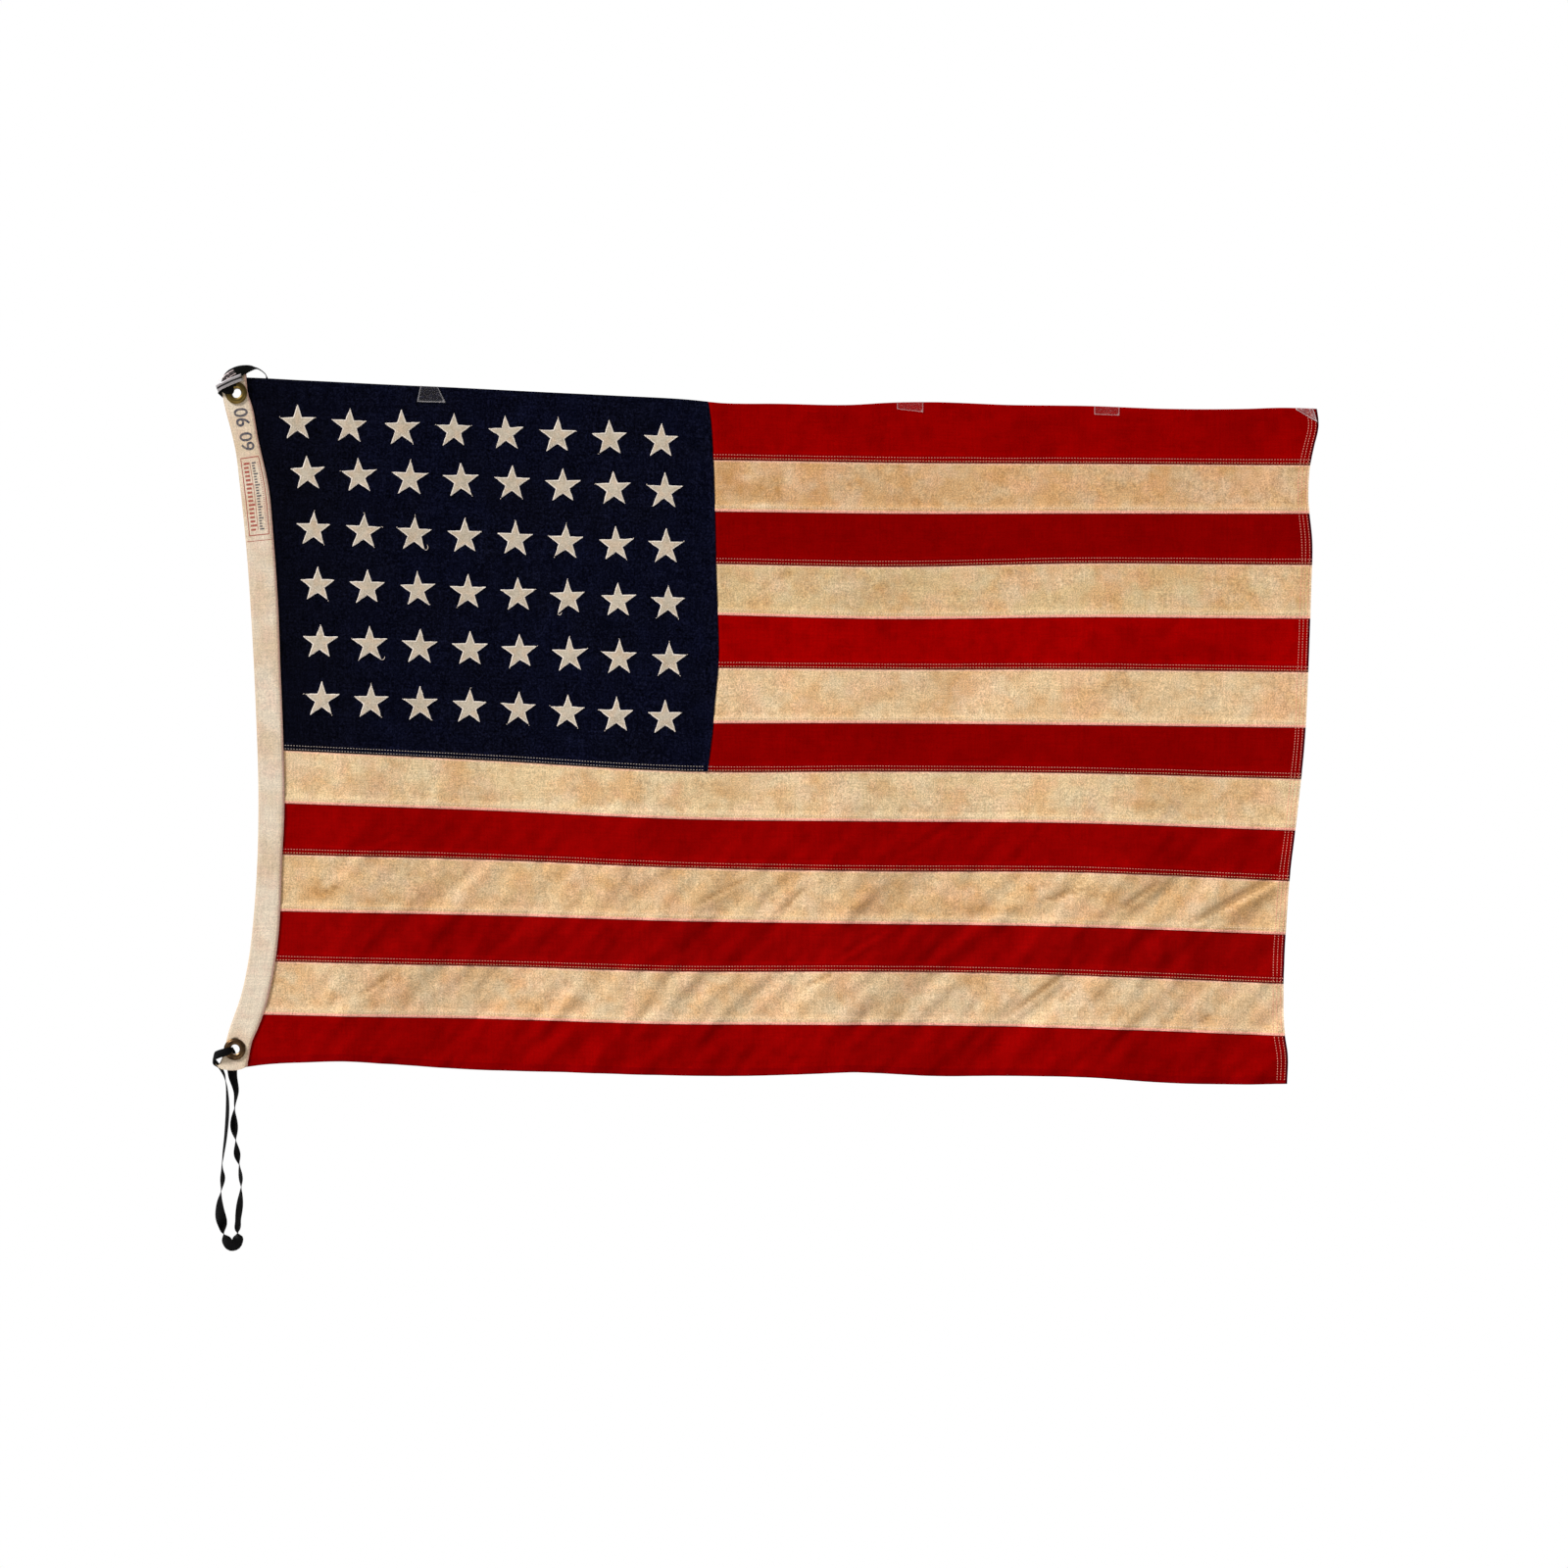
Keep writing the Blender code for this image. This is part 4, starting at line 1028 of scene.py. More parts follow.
class StitchMaker:
    """Running stitches along sewn rows, made by one Geometry Nodes tree."""

    def __init__(self) -> None:
        """Builds the tree: points at a pitch along each row, with a spindle of thread on each."""
        self.tree = bpy.data.node_groups.new("running_stitch", "GeometryNodeTree")
        self.sockets = {}
        face = self.tree.interface
        face.new_socket("Rows", in_out="INPUT", socket_type="NodeSocketGeometry")
        for name, kind in (("Pitch", "Float"), ("Length", "Float"), ("Thread", "Float"), ("Wander", "Float"),
                           ("Sides", "Int"), ("Seed", "Int"), ("Finish", "Material")):
            socket = face.new_socket(name, in_out="INPUT", socket_type=f"NodeSocket{kind}")
            self.sockets[name] = socket.identifier
        face.new_socket("Stitches", in_out="OUTPUT", socket_type="NodeSocketGeometry")
        given = self.tree.nodes.new("NodeGroupInput").outputs
        add = partial(add_node, self.tree)
        rows = add("GeometryNodeMeshToCurve", {"Mesh": given["Rows"]})
        marks = add("GeometryNodeResampleCurve", {"Curve": rows, "Length": given["Pitch"]}, mode="LENGTH")
        size = add("ShaderNodeCombineXYZ", {0: given["Thread"], 1: given["Thread"], 2: given["Length"]})
        halved = add("ShaderNodeVectorMath", {0: size, "Scale": 0.5}, operation="SCALE")
        ball = add("GeometryNodeMeshUVSphere", {"Segments": given["Sides"], "Rings": 3, "Radius": 1.0})
        spindle = add("GeometryNodeTransform", {"Geometry": ball, "Scale": halved})
        run = add("GeometryNodeInputTangent")
        along = add("FunctionNodeAlignRotationToVector", {"Vector": run}, axis="Z")
        out = add("FunctionNodeAlignRotationToVector", {"Rotation": along, "Vector": (0.0, -1.0, 0.0)},
                  axis="X", pivot_axis="Z")
        low = add("ShaderNodeMath", {0: given["Wander"], 1: -1.0}, operation="MULTIPLY")
        swing = add("FunctionNodeRandomValue", {2: low, 3: given["Wander"], "Seed": given["Seed"]}, 1,
                    data_type="FLOAT")
        turn = add("FunctionNodeEulerToRotation", {0: add("ShaderNodeCombineXYZ", {0: swing})})
        turned = add("FunctionNodeRotateRotation", {0: out, 1: turn}, rotation_space="LOCAL")
        sewn = add("GeometryNodeInstanceOnPoints", {"Points": marks, "Instance": spindle, "Rotation": turned})
        smooth = add("GeometryNodeSetShadeSmooth", {0: add("GeometryNodeRealizeInstances", {0: sewn})})
        finish = add("GeometryNodeSetMaterial", {0: smooth, "Material": given["Finish"]})
        add("NodeGroupOutput", {0: finish})

    def sew(self, name: str, rows: list[Array], finish: Material, slot: str = "white_cotton",
            pitch: float = 2.5, length: float = 1.6, thread: float = 0.68, sides: int = 4) -> Object:
        """Sews rows of stitches.

        Args:
            name: the piece's name.
            rows: the points of each row, in millimetres.
            finish: the thread's material.
            slot: its slot.
            pitch: distance from stitch to stitch.
            length: length of a stitch.
            thread: the thread's thickness.
            sides: faces round a stitch.

        Returns:
            The stitches as one plain mesh.
        """
        points, edges = [], []
        for row in rows:
            edges += [(len(points) + i, len(points) + i + 1) for i in range(len(row) - 1)]
            points += (np.asarray(row) * MM).tolist()
        mesh = bpy.data.meshes.new(name + "_rows")
        mesh.from_pydata(points, edges, [])
        holder = link(name + "_rows", mesh)
        modifier = holder.modifiers.new("stitch", "NODES")
        modifier.node_group = self.tree
        values = {"Pitch": pitch * MM, "Length": length * MM, "Thread": thread * MM, "Wander": 0.12,
                  "Sides": sides, "Seed": 11, "Finish": finish}
        for key, value in values.items():
            modifier[self.sockets[key]] = value
        made = settle(holder)
        made.name = name
        return declare(link(name, made), slot)


@dataclass(frozen=True)
class Stars:
    """The star pieces: their sizes, their places on the canton and their stitched edges.

    rows are shares of the canton's height; first and pitch are shares of its width. rings are
    shares of the way out to the cut edge, and heights are the star's lift at each.
    """

    radius: float = 16.5
    waist: float = 0.39
    rows: tuple[float, ...] = (0.117, 0.251, 0.401, 0.551, 0.704, 0.859)
    columns: int = 8
    first: float = 0.092
    pitch: float = 0.1136
    tilt: float = 2.5
    edge_parts: int = 4
    blunt: float = 0.054
    ragged: float = 0.22
    rings: tuple[float, ...] = (0.3, 0.6, 0.82, 0.93, 0.985, 1.0)
    heights: tuple[float, ...] = (0.78, 0.76, 0.74, 0.66, 0.68, 0.58)
    base: float = 0.32
    # Stars with one long loose end, and the point that it hangs at
    long_ends: tuple[tuple[int, int], ...] = ((18, 6), (29, 4), (33, 6))

    def centres(self) -> list[tuple[float, float, float]]:
        """Finds each star's place and tilt, as in the solids.

        Returns:
            The place along the fly, the height and the tilt of each star.
        """
        tilts = random.Random(48)
        places = []
        for row in self.rows:
            for column in range(self.columns):
                share = self.first + self.pitch * column
                x, z = -250.0, -150.0
                for _ in range(4):
                    x = float(HOIST_LINE.at(z) + share * (CANTON_LINE.at(z) - HOIST_LINE.at(z)))
                    z = float(SEAMS[0].at(x) + row * (SEAMS[CANTON_STRIPES].at(x) - SEAMS[0].at(x)))
                places.append((x, z, math.radians(tilts.uniform(-self.tilt, self.tilt))))
        return places

    def corner(self, tilt: float, i: int, grow: float = 1.0) -> Array:
        """A corner of a star about its middle.

        Args:
            tilt: how far the star is turned.
            i: which corner. Even ones are points, odd ones lie between them.
            grow: a share of its reach.

        Returns:
            Its place across and up.
        """
        angle = math.pi / 2 + tilt + i * math.pi / 5
        reach = self.radius * grow * (self.waist if i % 2 else 1.0)
        return np.array([reach * math.cos(angle), reach * math.sin(angle)])

    def outline(self, tilt: float, seed: int) -> Array:
        """The cut edge of one star, slightly uneven, with blunt points.

        Args:
            tilt: how far the star is turned.
            seed: which star.

        Returns:
            Points about the star's middle.
        """
        cut = random.Random(seed)
        reach = [1.0 + cut.uniform(-uneven, uneven) for uneven in (0.05, 0.06) * 5]
        edge = []
        for i in range(10):
            a, b = self.corner(tilt, i, reach[i]), self.corner(tilt, i + 1, reach[(i + 1) % 10])
            stops = np.linspace(0.0, 1.0, self.edge_parts, endpoint=False)
            if i % 2 == 0:
                stops[0] = self.blunt
            for t in stops:
                ragged = [cut.uniform(-self.ragged, self.ragged) for _ in "xz"]
                edge.append(a + (b - a) * t + ragged)
            if i % 2:
                edge.append(a + (b - a) * (1.0 - self.blunt))
        return np.array(edge)

    def sheet(self, side: int, material: Material) -> Object:
        """All the star pieces of one side of the canton.

        Args:
            side: the front or the back.
            material: their finish.

        Returns:
            The stars as one mesh, each of them closed.
        """
        points, faces, from_edge, weave = [], [], [], []
        for number, (x, z, tilt) in enumerate(self.centres()):
            edge = self.outline(tilt, number)
            size, start = len(edge), len(points)
            flat = np.vstack([[[0, 0]], *[edge * share for share in (*self.rings, 1.0)], [[0, 0]]])
            height = np.array([self.heights[0], *np.repeat((*self.heights, self.base), size), self.base])
            px, pz = flat[:, 0] + x, flat[:, 1] + z
            pucker = 0.05 * ripple(px, pz, 4.0, 4.0, 0.0, 21.0)
            lift = CLOTH.lift(px, pz) + side * (height + pucker * (height > self.base))
            points += lay(px, lift, pz).tolist()
            shares = np.concatenate([[0.0], np.repeat((*self.rings, 1.0), size), [0.0]])
            from_edge += (self.radius * 0.55 * (1.0 - shares)).tolist()
            weave += (flat * MM).tolist()
            last = 1 + len(self.rings) * size
            for i in range(size):
                j = (i + 1) % size
                star = [(0, 1 + i, 1 + j)]
                star += [(a + i, a + size + i, a + size + j, a + j) for a in range(1, last, size)]
                star.append((last + size, last + j, last + i))
                faces += [tuple(start + v for v in face[::side]) for face in star]
        obj = build(f"stars_{FACES[side]}", points, faces, material, 60.0)
        add_facts(obj, {"from_edge": from_edge}, weave)
        return declare(obj, "white_cotton")

    def seam_rows(self, side: int) -> list[Array]:
        """The stitched lines of each star.

        Args:
            side: the front or the back.

        Returns:
            The points of each line, round the edge and, at the front, across the middle.
        """
        rows = []
        for x, z, tilt in self.centres():
            lines = [[self.corner(tilt, i, 0.86 if i % 2 else 0.9) for i in range(11)]]
            if side > 0:
                lines += [[self.corner(tilt, a, 0.86), self.corner(tilt, b, 0.72)]
                          for a, b in ((3, 6), (7, 4))]
            for line in lines:
                dense = [a + (b - a) * t for a, b in zip(line[:-1], line[1:])
                         for t in np.linspace(0.0, 1.0, 5, endpoint=False)]
                px, pz = (np.array(dense + [line[-1]]) + (x, z)).T
                rows.append(lay(px, CLOTH.lift(px, pz) + side * (self.heights[0] + 0.02), pz))
        return rows

    def loose_ends(self) -> list[Array]:
        """Thread ends at the stars' points: short stubs, and longer curls at a few.

        Returns:
            The points of each thread.
        """
        pick = random.Random(7)
        rows = []
        for number, (x, z, tilt) in enumerate(self.centres()):
            long_one = dict(self.long_ends).get(number)
            for i in range(0, 10, 2):
                if i != long_one and pick.random() > 0.3:
                    continue
                tip, out = self.corner(tilt, i, 0.97) + (x, z), self.corner(tilt, i) / self.radius
                reach = pick.uniform(3.5, 5.0) if i == long_one else pick.uniform(0.7, 1.5)
                bend = pick.uniform(-1.2, 1.2) * (2.4 if i == long_one else 1.0)
                t = np.linspace(0.0, 1.0, 6)
                c, s = np.cos(bend * t), np.sin(bend * t)
                px = tip[0] + (out[0] * c - out[1] * s) * reach * t
                pz = tip[1] + (out[0] * s + out[1] * c) * reach * t
                rows.append(lay(px, CLOTH.lift(px, pz) + 0.65 + 0.5 * t, pz))
        return rows


def tubes(name: str, rows: list[Array], radius: float, material: Material, sides: int = 4) -> Object:
    """Makes round threads with pointed ends.

    Args:
        name: the piece's name.
        rows: the points of each thread.
        radius: the threads' radius.
        material: their finish.
        sides: faces round a thread.

    Returns:
        The threads as one piece.
    """
    points, faces = [], []
    ring = range(sides)
    for row in rows:
        start, count = len(points), len(row)
        run = unit(np.gradient(row, axis=0))
        side = unit(np.cross(run, (0.0, 1.0, 0.0)))
        up = np.cross(side, run)
        for k in range(count):
            wide = radius * (0.35 if k in (0, count - 1) else 1.0)
            for m in ring:
                angle = 2 * math.pi * m / sides
                points.append(row[k] + wide * (math.cos(angle) * side[k] + math.sin(angle) * up[k]))
        for a in range(start, start + (count - 1) * sides, sides):
            faces += [(a + m, a + sides + m, a + sides + (m + 1) % sides, a + (m + 1) % sides) for m in ring]
        last = start + (count - 1) * sides
        faces += [tuple(start + m for m in ring), tuple(last + m for m in reversed(ring))]
    return declare(build(name, points, faces, material, 75.0), "white_cotton")


@dataclass(frozen=True)
class Heading:
    """The canvas heading: a strip folded round the field's edge, stamped and sewn.

    A place on it is a share of its height, from the top, and a share t across it, from the outer
    edge. top and low are the heights of its outer and inner edge at each end. flat is the cut
    strip's size, in metres.
    """

    top: Spot = (22.5, 26.5)
    low: Spot = (-579.0, -581.5)
    foot_from: float = 0.96
    half: float = 2.05
    edge_half: float = 1.35
    thick: float = 0.6
    rows: int = 236
    across: int = 13
    fold: tuple[float, ...] = (0.07, 0.045, 0.022, 0.006)
    hole: float = 6.9
    sew_in: float = 2.4
    flat: Spot = (0.062, 0.606)
    # Heights between which the print's graduations lie, and the width of the canvas they are drawn for
    ruled: Spot = (-54.0, -113.0)
    wide: float = 28.0

    def place(self, share: Array, t: Array) -> tuple[Array, Array]:
        """Where on the hung cloth a place on the heading lies.

        Args:
            share: shares of the height.
            t: shares across.

        Returns:
            Places along the fly and heights.
        """
        outer_z, inner_z = [top + share * (low - top) for top, low in zip(self.top, self.low)]
        outer, inner = OUTER_LINE.at(outer_z), HOIST_LINE.at(inner_z)
        x = outer + t * (inner - outer)
        level = outer_z + (inner_z - outer_z) * t
        return x, level + ease((share - self.foot_from) / (1.0 - self.foot_from)) * (FOOT_LINE.at(x) - level)

    def on_canvas(self, share: Array, t: Array, side: Array | float, off: float = 0.0) -> Array:
        """Points on the canvas, which is rounded at its fold and pressed at its stitches.

        Args:
            share: shares of the height.
            t: shares across.
            side: the front or the back, or 0 at the fold.
            off: how far the points stand off the canvas.

        Returns:
            A point for each place.
        """
        x, z = self.place(share, t)
        fold = np.sqrt(np.clip(1.0 - (1.0 - np.clip(t / self.fold[0], 0.0, 1.0)) ** 2, 0.0, 1.0))
        pressed = self.half - (self.half - self.edge_half) * ease((t - 0.84) / 0.16)
        ends = 0.45 + 0.55 * ease(np.minimum(share, 1.0 - share) * 260.0)
        return lay(x, CLOTH.lift(x, z) + side * pressed * fold * ends + off, z)

    def uneven(self, points: Array) -> Array:
        """Gives points the canvas's own slight unevenness."""
        points[..., 1] -= 0.1 * ripple(points[..., 0], points[..., 2], 26.0, 9.0, 70.0, 5.0)
        return points

    def make(self, material: Material) -> Object:
        """Builds the folded strip with its two holes.

        Args:
            material: its finish.

        Returns:
            The strip, with the distances that its material reads.
        """
        t = np.concatenate([np.linspace(0.1, 1.0, self.across)[::-1], self.fold])
        side = np.concatenate([np.ones(len(t)), [0.0], -np.ones(len(t))])
        t = np.concatenate([t, [0.0], t[::-1]])
        shares = np.concatenate([[0.0, 0.0008], np.linspace(0.0035, 0.9965, self.rows), [0.9992, 1.0]])
        share, t = np.meshgrid(shares, t, indexing="ij")
        points = self.uneven(self.on_canvas(share, t, side))
        x, z = points[..., 0], points[..., 2]
        places = np.stack([x.ravel(), z.ravel()], -1)
        faces = [face for face in grid_faces(*x.shape)
                 if min(math.dist(places[list(face)].mean(axis=0), eyelet)
                        for eyelet in (UPPER_EYELET, LOWER_EYELET)) > self.hole]
        obj = build("heading_cloth", points, faces, material, 60.0)
        width = HOIST_LINE.at(z) - OUTER_LINE.at(z)
        facts = {"from_left": t * width, "from_right": (1 - t) * width}
        add_facts(obj, facts, np.stack([side * t * width, z], -1) * MM)
        return declare(thicken(obj, self.thick, -1.0), "heading_canvas", "heading")

    def seam_rows(self) -> list[Array]:
        """The rows of stitches that close the strip, front and back, just off the canvas.

        Returns:
            The points of each row.
        """
        share = np.linspace(0.008, 0.988, 200)
        outer, inner = [self.place(share, np.full_like(share, t))[0] for t in (0.0, 1.0)]
        t = 1.0 - self.sew_in / (inner - outer)
        return [self.on_canvas(share, t, side, side * 0.03) for side in FACES]

    def stamp(self, name: str, flat: Array, faces: list, material: Material) -> Object:
        """Lays flat print on the front of the canvas, as a film of ink.

        Args:
            name: the piece's name.
            flat: each point's height down the heading and share across it.
            faces: the print's faces.
            material: the ink.

        Returns:
            The print.
        """
        share = (self.top[0] - flat[:, 0]) / (self.top[0] - self.low[0])
        points = self.uneven(self.on_canvas(share, flat[:, 1], 1.0, 0.05))
        obj = build(name, points, faces, material)
        obj.data.shade_flat()
        return declare(thicken(obj, 0.04), "heading_canvas")

    def lines(self, name: str, bars: Sequence[tuple], material: Material) -> Object:
        """Prints lines.

        Args:
            name: the piece's name.
            bars: for each line its start and end, as (height, share across), and its width.
            material: the ink.

        Returns:
            The print as one piece.
        """
        points, faces = [], []
        for (z0, t0), (z1, t1), wide in bars:
            across = (wide / 2, 0.0) if z0 == z1 else (0.0, wide / 2 / self.wide)
            parts = 24 if max(abs(z0 - z1), self.wide * abs(t0 - t1)) > 12.0 else 3
            for i in range(parts + 1):
                z, t = z0 + i / parts * (z1 - z0), t0 + i / parts * (t1 - t0)
                start = len(points)
                points += [(z + across[0], t + across[1]), (z - across[0], t - across[1])]
                if i:
                    faces.append((start - 2, start, start + 1, start - 1))
        return self.stamp(name, np.array(points), faces, material)

    def marks(self, step: float, start: float, short: float, long: float, every: int,
              wide: float) -> list[tuple]:
        """The graduations of a rule.

        Args:
            step: distance from mark to mark.
            start: the share across at which each starts.
            short: where a short one ends.
            long: where a long one ends.
            every: how many marks apart the long ones are.
            wide: a mark's width.

        Returns:
            Their bars.
        """
        return [((z, start), (z, short if i % every else long), wide)
                for i, z in enumerate(np.arange(*self.ruled, -step))]

    def border(self, ink: Material) -> Object:
        """Prints a plain border with graduations in it, and a line across the canvas below.

        Args:
            ink: its finish.

        Returns:
            The print as one piece.
        """
        top, foot, left, right = -49.0, -116.5, 0.16, 0.86
        bars = [((top, left), (top, right), 0.8), ((foot, left), (foot, right), 0.8),
                ((top, left), (foot, left), 0.8), ((top, right), (foot, right), 0.8),
                ((-121.5, 0.05), (-121.5, 0.95), 0.5), ((-53.0, 0.48), (-112.5, 0.48), 0.5)]
        bars += self.marks(3.6, 0.24, 0.41, 0.46, 5, 1.8) + self.marks(1.8, 0.76, 0.81, 0.81, 1, 0.6)
        return self.lines("heading_border", bars, ink)

    def rule(self, ink: Material) -> Object:
        """The graduations of a rule."""
        return self.lines("heading_rule", self.marks(2.4, 0.55, 0.65, 0.71, 4, 1.2), ink)

    def numbers(self, body: str, span: Spot, across: Spot, bold: float, material: Material) -> Object:
        """Plain numbers stamped up the heading.

        Args:
            body: the numbers.
            span: heights at which the line of numbers starts and ends.
            across: shares across the heading of the numbers' foot and head.
            bold: how much heavier the strokes are.
            material: the ink.

        Returns:
            The print as one piece.
        """
        text = bpy.data.curves.new("size_numbers", "FONT")
        text.body, text.offset, text.resolution_u = body, bold, 4
        shape = settle(link("numbers_text", text))
        flat = np.array([v.co[:2] for v in shape.vertices])
        faces = [tuple(p.vertices) for p in shape.polygons]
        low, high = np.array([span, across]).T
        flat = low + (high - low) * (flat - flat.min(axis=0)) / (flat.max(axis=0) - flat.min(axis=0))
        return self.stamp("size_numbers", flat, faces, material)


@dataclass(frozen=True)
class Eyelet:
    """A pressed brass eyelet with its clinch behind, and its back washer: (radius, lift) sections."""

    eyelet: Points = (
        (4.35, -4.3), (5.5, -4.55), (6.3, -4.37), (6.6, -4.05), (6.5, -3.75), (5.0, -3.75), (5.0, 2.55),
        (9.3, 2.55), (9.6, 2.75), (9.5, 3.1), (9.0, 3.4), (8.5, 3.35), (8.25, 3.65), (7.7, 3.95),
        (6.9, 4.05), (6.1, 4.0), (5.3, 3.8), (4.65, 3.45), (4.3, 2.9), (4.2, 2.15), (4.2, -3.55))
    washer: Points = ((5.3, -2.55), (5.3, -3.3), (5.8, -3.45), (8.3, -3.45), (8.85, -3.3), (9.2, -2.9),
                      (9.15, -2.55))
    sides: int = 64

    def make(self, label: str, centre: Spot, finish: Material) -> None:
        """Turns one eyelet and its washer.

        Args:
            label: which one.
            centre: where its axis is.
            finish: the brass.
        """
        angles = np.linspace(0.0, 2 * math.pi, self.sides, endpoint=False)
        for kind, section in (("eyelet", self.eyelet), ("washer", self.washer)):
            points = [(centre[0] + r * math.cos(a), -lift, centre[1] + r * math.sin(a))
                      for a in angles for r, lift in section]
            size, faces = len(section), []
            for i in range(self.sides):
                near, far = i * size, (i + 1) % self.sides * size
                for k in range(size):
                    n = (k + 1) % size
                    faces.append((near + k, far + k, far + n, near + n))
            obj = build(f"{kind}_brass_{label}", points, faces, finish, 50.0)
            declare(obj, "aged_brass", f"{kind}_{label}")


@dataclass(frozen=True)
class Ribbon:
    """A ribbon tie along a given route, turned as each point of it says."""

    name: str
    node: str
    route: Points
    far_end: str
    thick: float = 0.4
    edge_thick: float = 0.16
    step: float = 2.0
    across: int = 7
    cup: float = 0.35
    wide: float = 9.5

    def places(self) -> Array:
        """Takes close steps along the route, through each of its points.

        Returns:
            The route's six numbers at each step.
        """
        points = np.array(self.route, float)
        spans = np.linalg.norm(np.diff(points[:, :3], axis=0), axis=1)
        along = np.concatenate([[0.0], np.cumsum(spans)])
        stops = [along[-1]]
        for start, span in zip(along[:-1], spans):
            parts = math.ceil(span / self.step)
            stops += [start + span * k / parts for k in range(parts)]
        stops = np.array(sorted(stops))
        return np.stack([Curve(zip(along, column)).at(stops) for column in points.T], -1)

    def make(self, finish: Material) -> Object:
        """Args:
            finish: its material.

        Returns:
            The ribbon.
        """
        steps = self.places()
        middle = lay(*steps[:, :3].T)
        turn, lean = np.radians(steps[:, 3:5]).T
        run = unit(np.gradient(middle, axis=0))
        wide = np.stack([np.cos(lean) * np.cos(turn), -np.cos(lean) * np.sin(turn), np.sin(lean)], -1)
        wide = unit(wide - run * np.sum(wide * run, axis=1)[:, None])
        face = np.cross(run, wide)
        reach = np.linspace(-1.0, 1.0, self.across)
        travel = np.concatenate([[0.0], np.cumsum(np.linalg.norm(np.diff(middle, axis=0), axis=1))])
        thick = np.array([self.edge_thick, *[self.thick] * (self.across - 2), self.edge_thick]) / 2
        skins = []
        for side in FACES:
            off = face[:, None, :] * (self.cup * (reach**2 - 0.5) + side * thick)[None, :, None]
            skins.append(middle[:, None, :] + wide[:, None, :] * (reach * steps[:, 5:] / 2)[..., None] + off)
        weave = np.stack(np.broadcast_arrays(reach * self.wide / 2, travel[:, None]), -1) * MM
        obj = build(self.name, skins, skin_faces(len(middle), self.across), finish, 60.0)
        add_facts(obj, {}, [weave, weave])
        declare(obj, "black_ribbon", self.node)
        LOG.info("%s: %.0f mm long", self.name, travel[-1])
        return obj


@dataclass(frozen=True)
class Film:
    """What all pieces of clear tape share."""

    label: str
    thick: float = field(default=0.16, kw_only=True)

    def close(self, points: Any, faces: list, from_edge: Array, finish: Material, *nodes: str) -> Object:
        """Makes the film of a grid of points.

        Args:
            points: its middle.
            faces: its faces.
            from_edge: each point's distance from the film's edge.
            finish: its material.
            nodes: the solids that it stands for.

        Returns:
            The film.
        """
        obj = build(f"tape_film_{self.label}", points, faces, finish, 60.0)
        add_facts(obj, {"from_edge": from_edge}, np.zeros((from_edge.size, 2)))
        return declare(thicken(obj, self.thick), "clear_tape", *nodes)


@dataclass(frozen=True)
class Tape(Film):
    """A clear tape piece, folded over the top edge.

    ends are its edges along the top, flare is how far each moves on the way down, and reach is how
    far down the front each goes. ahead and behind are the cloth's faces, and clear the gap to them.
    """

    ends: Spot
    flare: Spot
    reach: Spot
    behind: float = 0.6
    ahead: float = 0.6
    clear: float = 0.5
    back: float = 8.0
    across: int = 10

    def make(self, finish: Material) -> Object:
        """Builds the film along its section from the front, over the edge, to the back.

        Args:
            finish: its material.

        Returns:
            The film.
        """
        share = np.linspace(0.0, 1.0, self.across)
        top_x, spread, drop = [start + share * (stop - start)
                               for start, stop in (self.ends, self.flare, self.reach)]
        low_x = top_x + spread
        edge = SEAMS[0].at(top_x)
        near, far = self.ahead + self.clear, self.behind + self.clear
        rows = [(low_x + (top_x - low_x) * f, edge - drop * (1 - f), near) for f in np.linspace(0, 1, 7)]
        rows += [(top_x, edge + self.clear * 0.7, near * 0.75), (top_x, edge + self.clear, 0.0),
                 (top_x, edge + self.clear * 0.7, -far * 0.75)]
        rows += [(top_x, edge - self.back * f, -far) for f in np.linspace(0, 1, 4)]
        lift = CLOTH.lift(top_x, edge)
        points = [lay(x, lift + d + 0.12 * ripple(x, z, 5.0, 4.0, 20.0, 31.0), z) for x, z, d in rows]
        side = np.minimum(share, 1 - share) * (self.ends[1] - self.ends[0])
        # The rows are about 1.4 apart down the front
        from_edge = np.minimum(side, 1.4 * np.arange(len(rows))[:, None])
        return self.close(points, grid_faces(*from_edge.shape), from_edge, finish, f"tape_{self.label}")


@dataclass(frozen=True)
class HoistTape(Film):
    """A tape strip over the upper ribbon: its route, as (x, lift, z) points, and its width's direction."""

    path: Points
    half: float
    lean: Spot
    nodes: tuple[str, ...] = ()

    def make(self, finish: Material) -> Object:
        """Builds the strip with its creases.

        Args:
            finish: its material.

        Returns:
            The film.
        """
        stops = np.linspace(0.0, len(self.path) - 1.0, 17)
        middle = [np.interp(stops, range(len(self.path)), column)[:, None] for column in zip(*self.path)]
        across = np.linspace(-self.half, self.half, 7)
        x, z = middle[0] + across * self.lean[0], middle[2] + across * self.lean[1]
        points = lay(x, middle[1] + 0.35 * ripple(x, z, 9.0, 1.9, 24.0, 12.0), z)
        faces = [(a, d, c, b) for a, b, c, d in grid_faces(*x.shape)]
        from_edge = np.broadcast_to(self.half - np.abs(across), x.shape)
        return self.close(points, faces, from_edge, finish, *self.nodes)


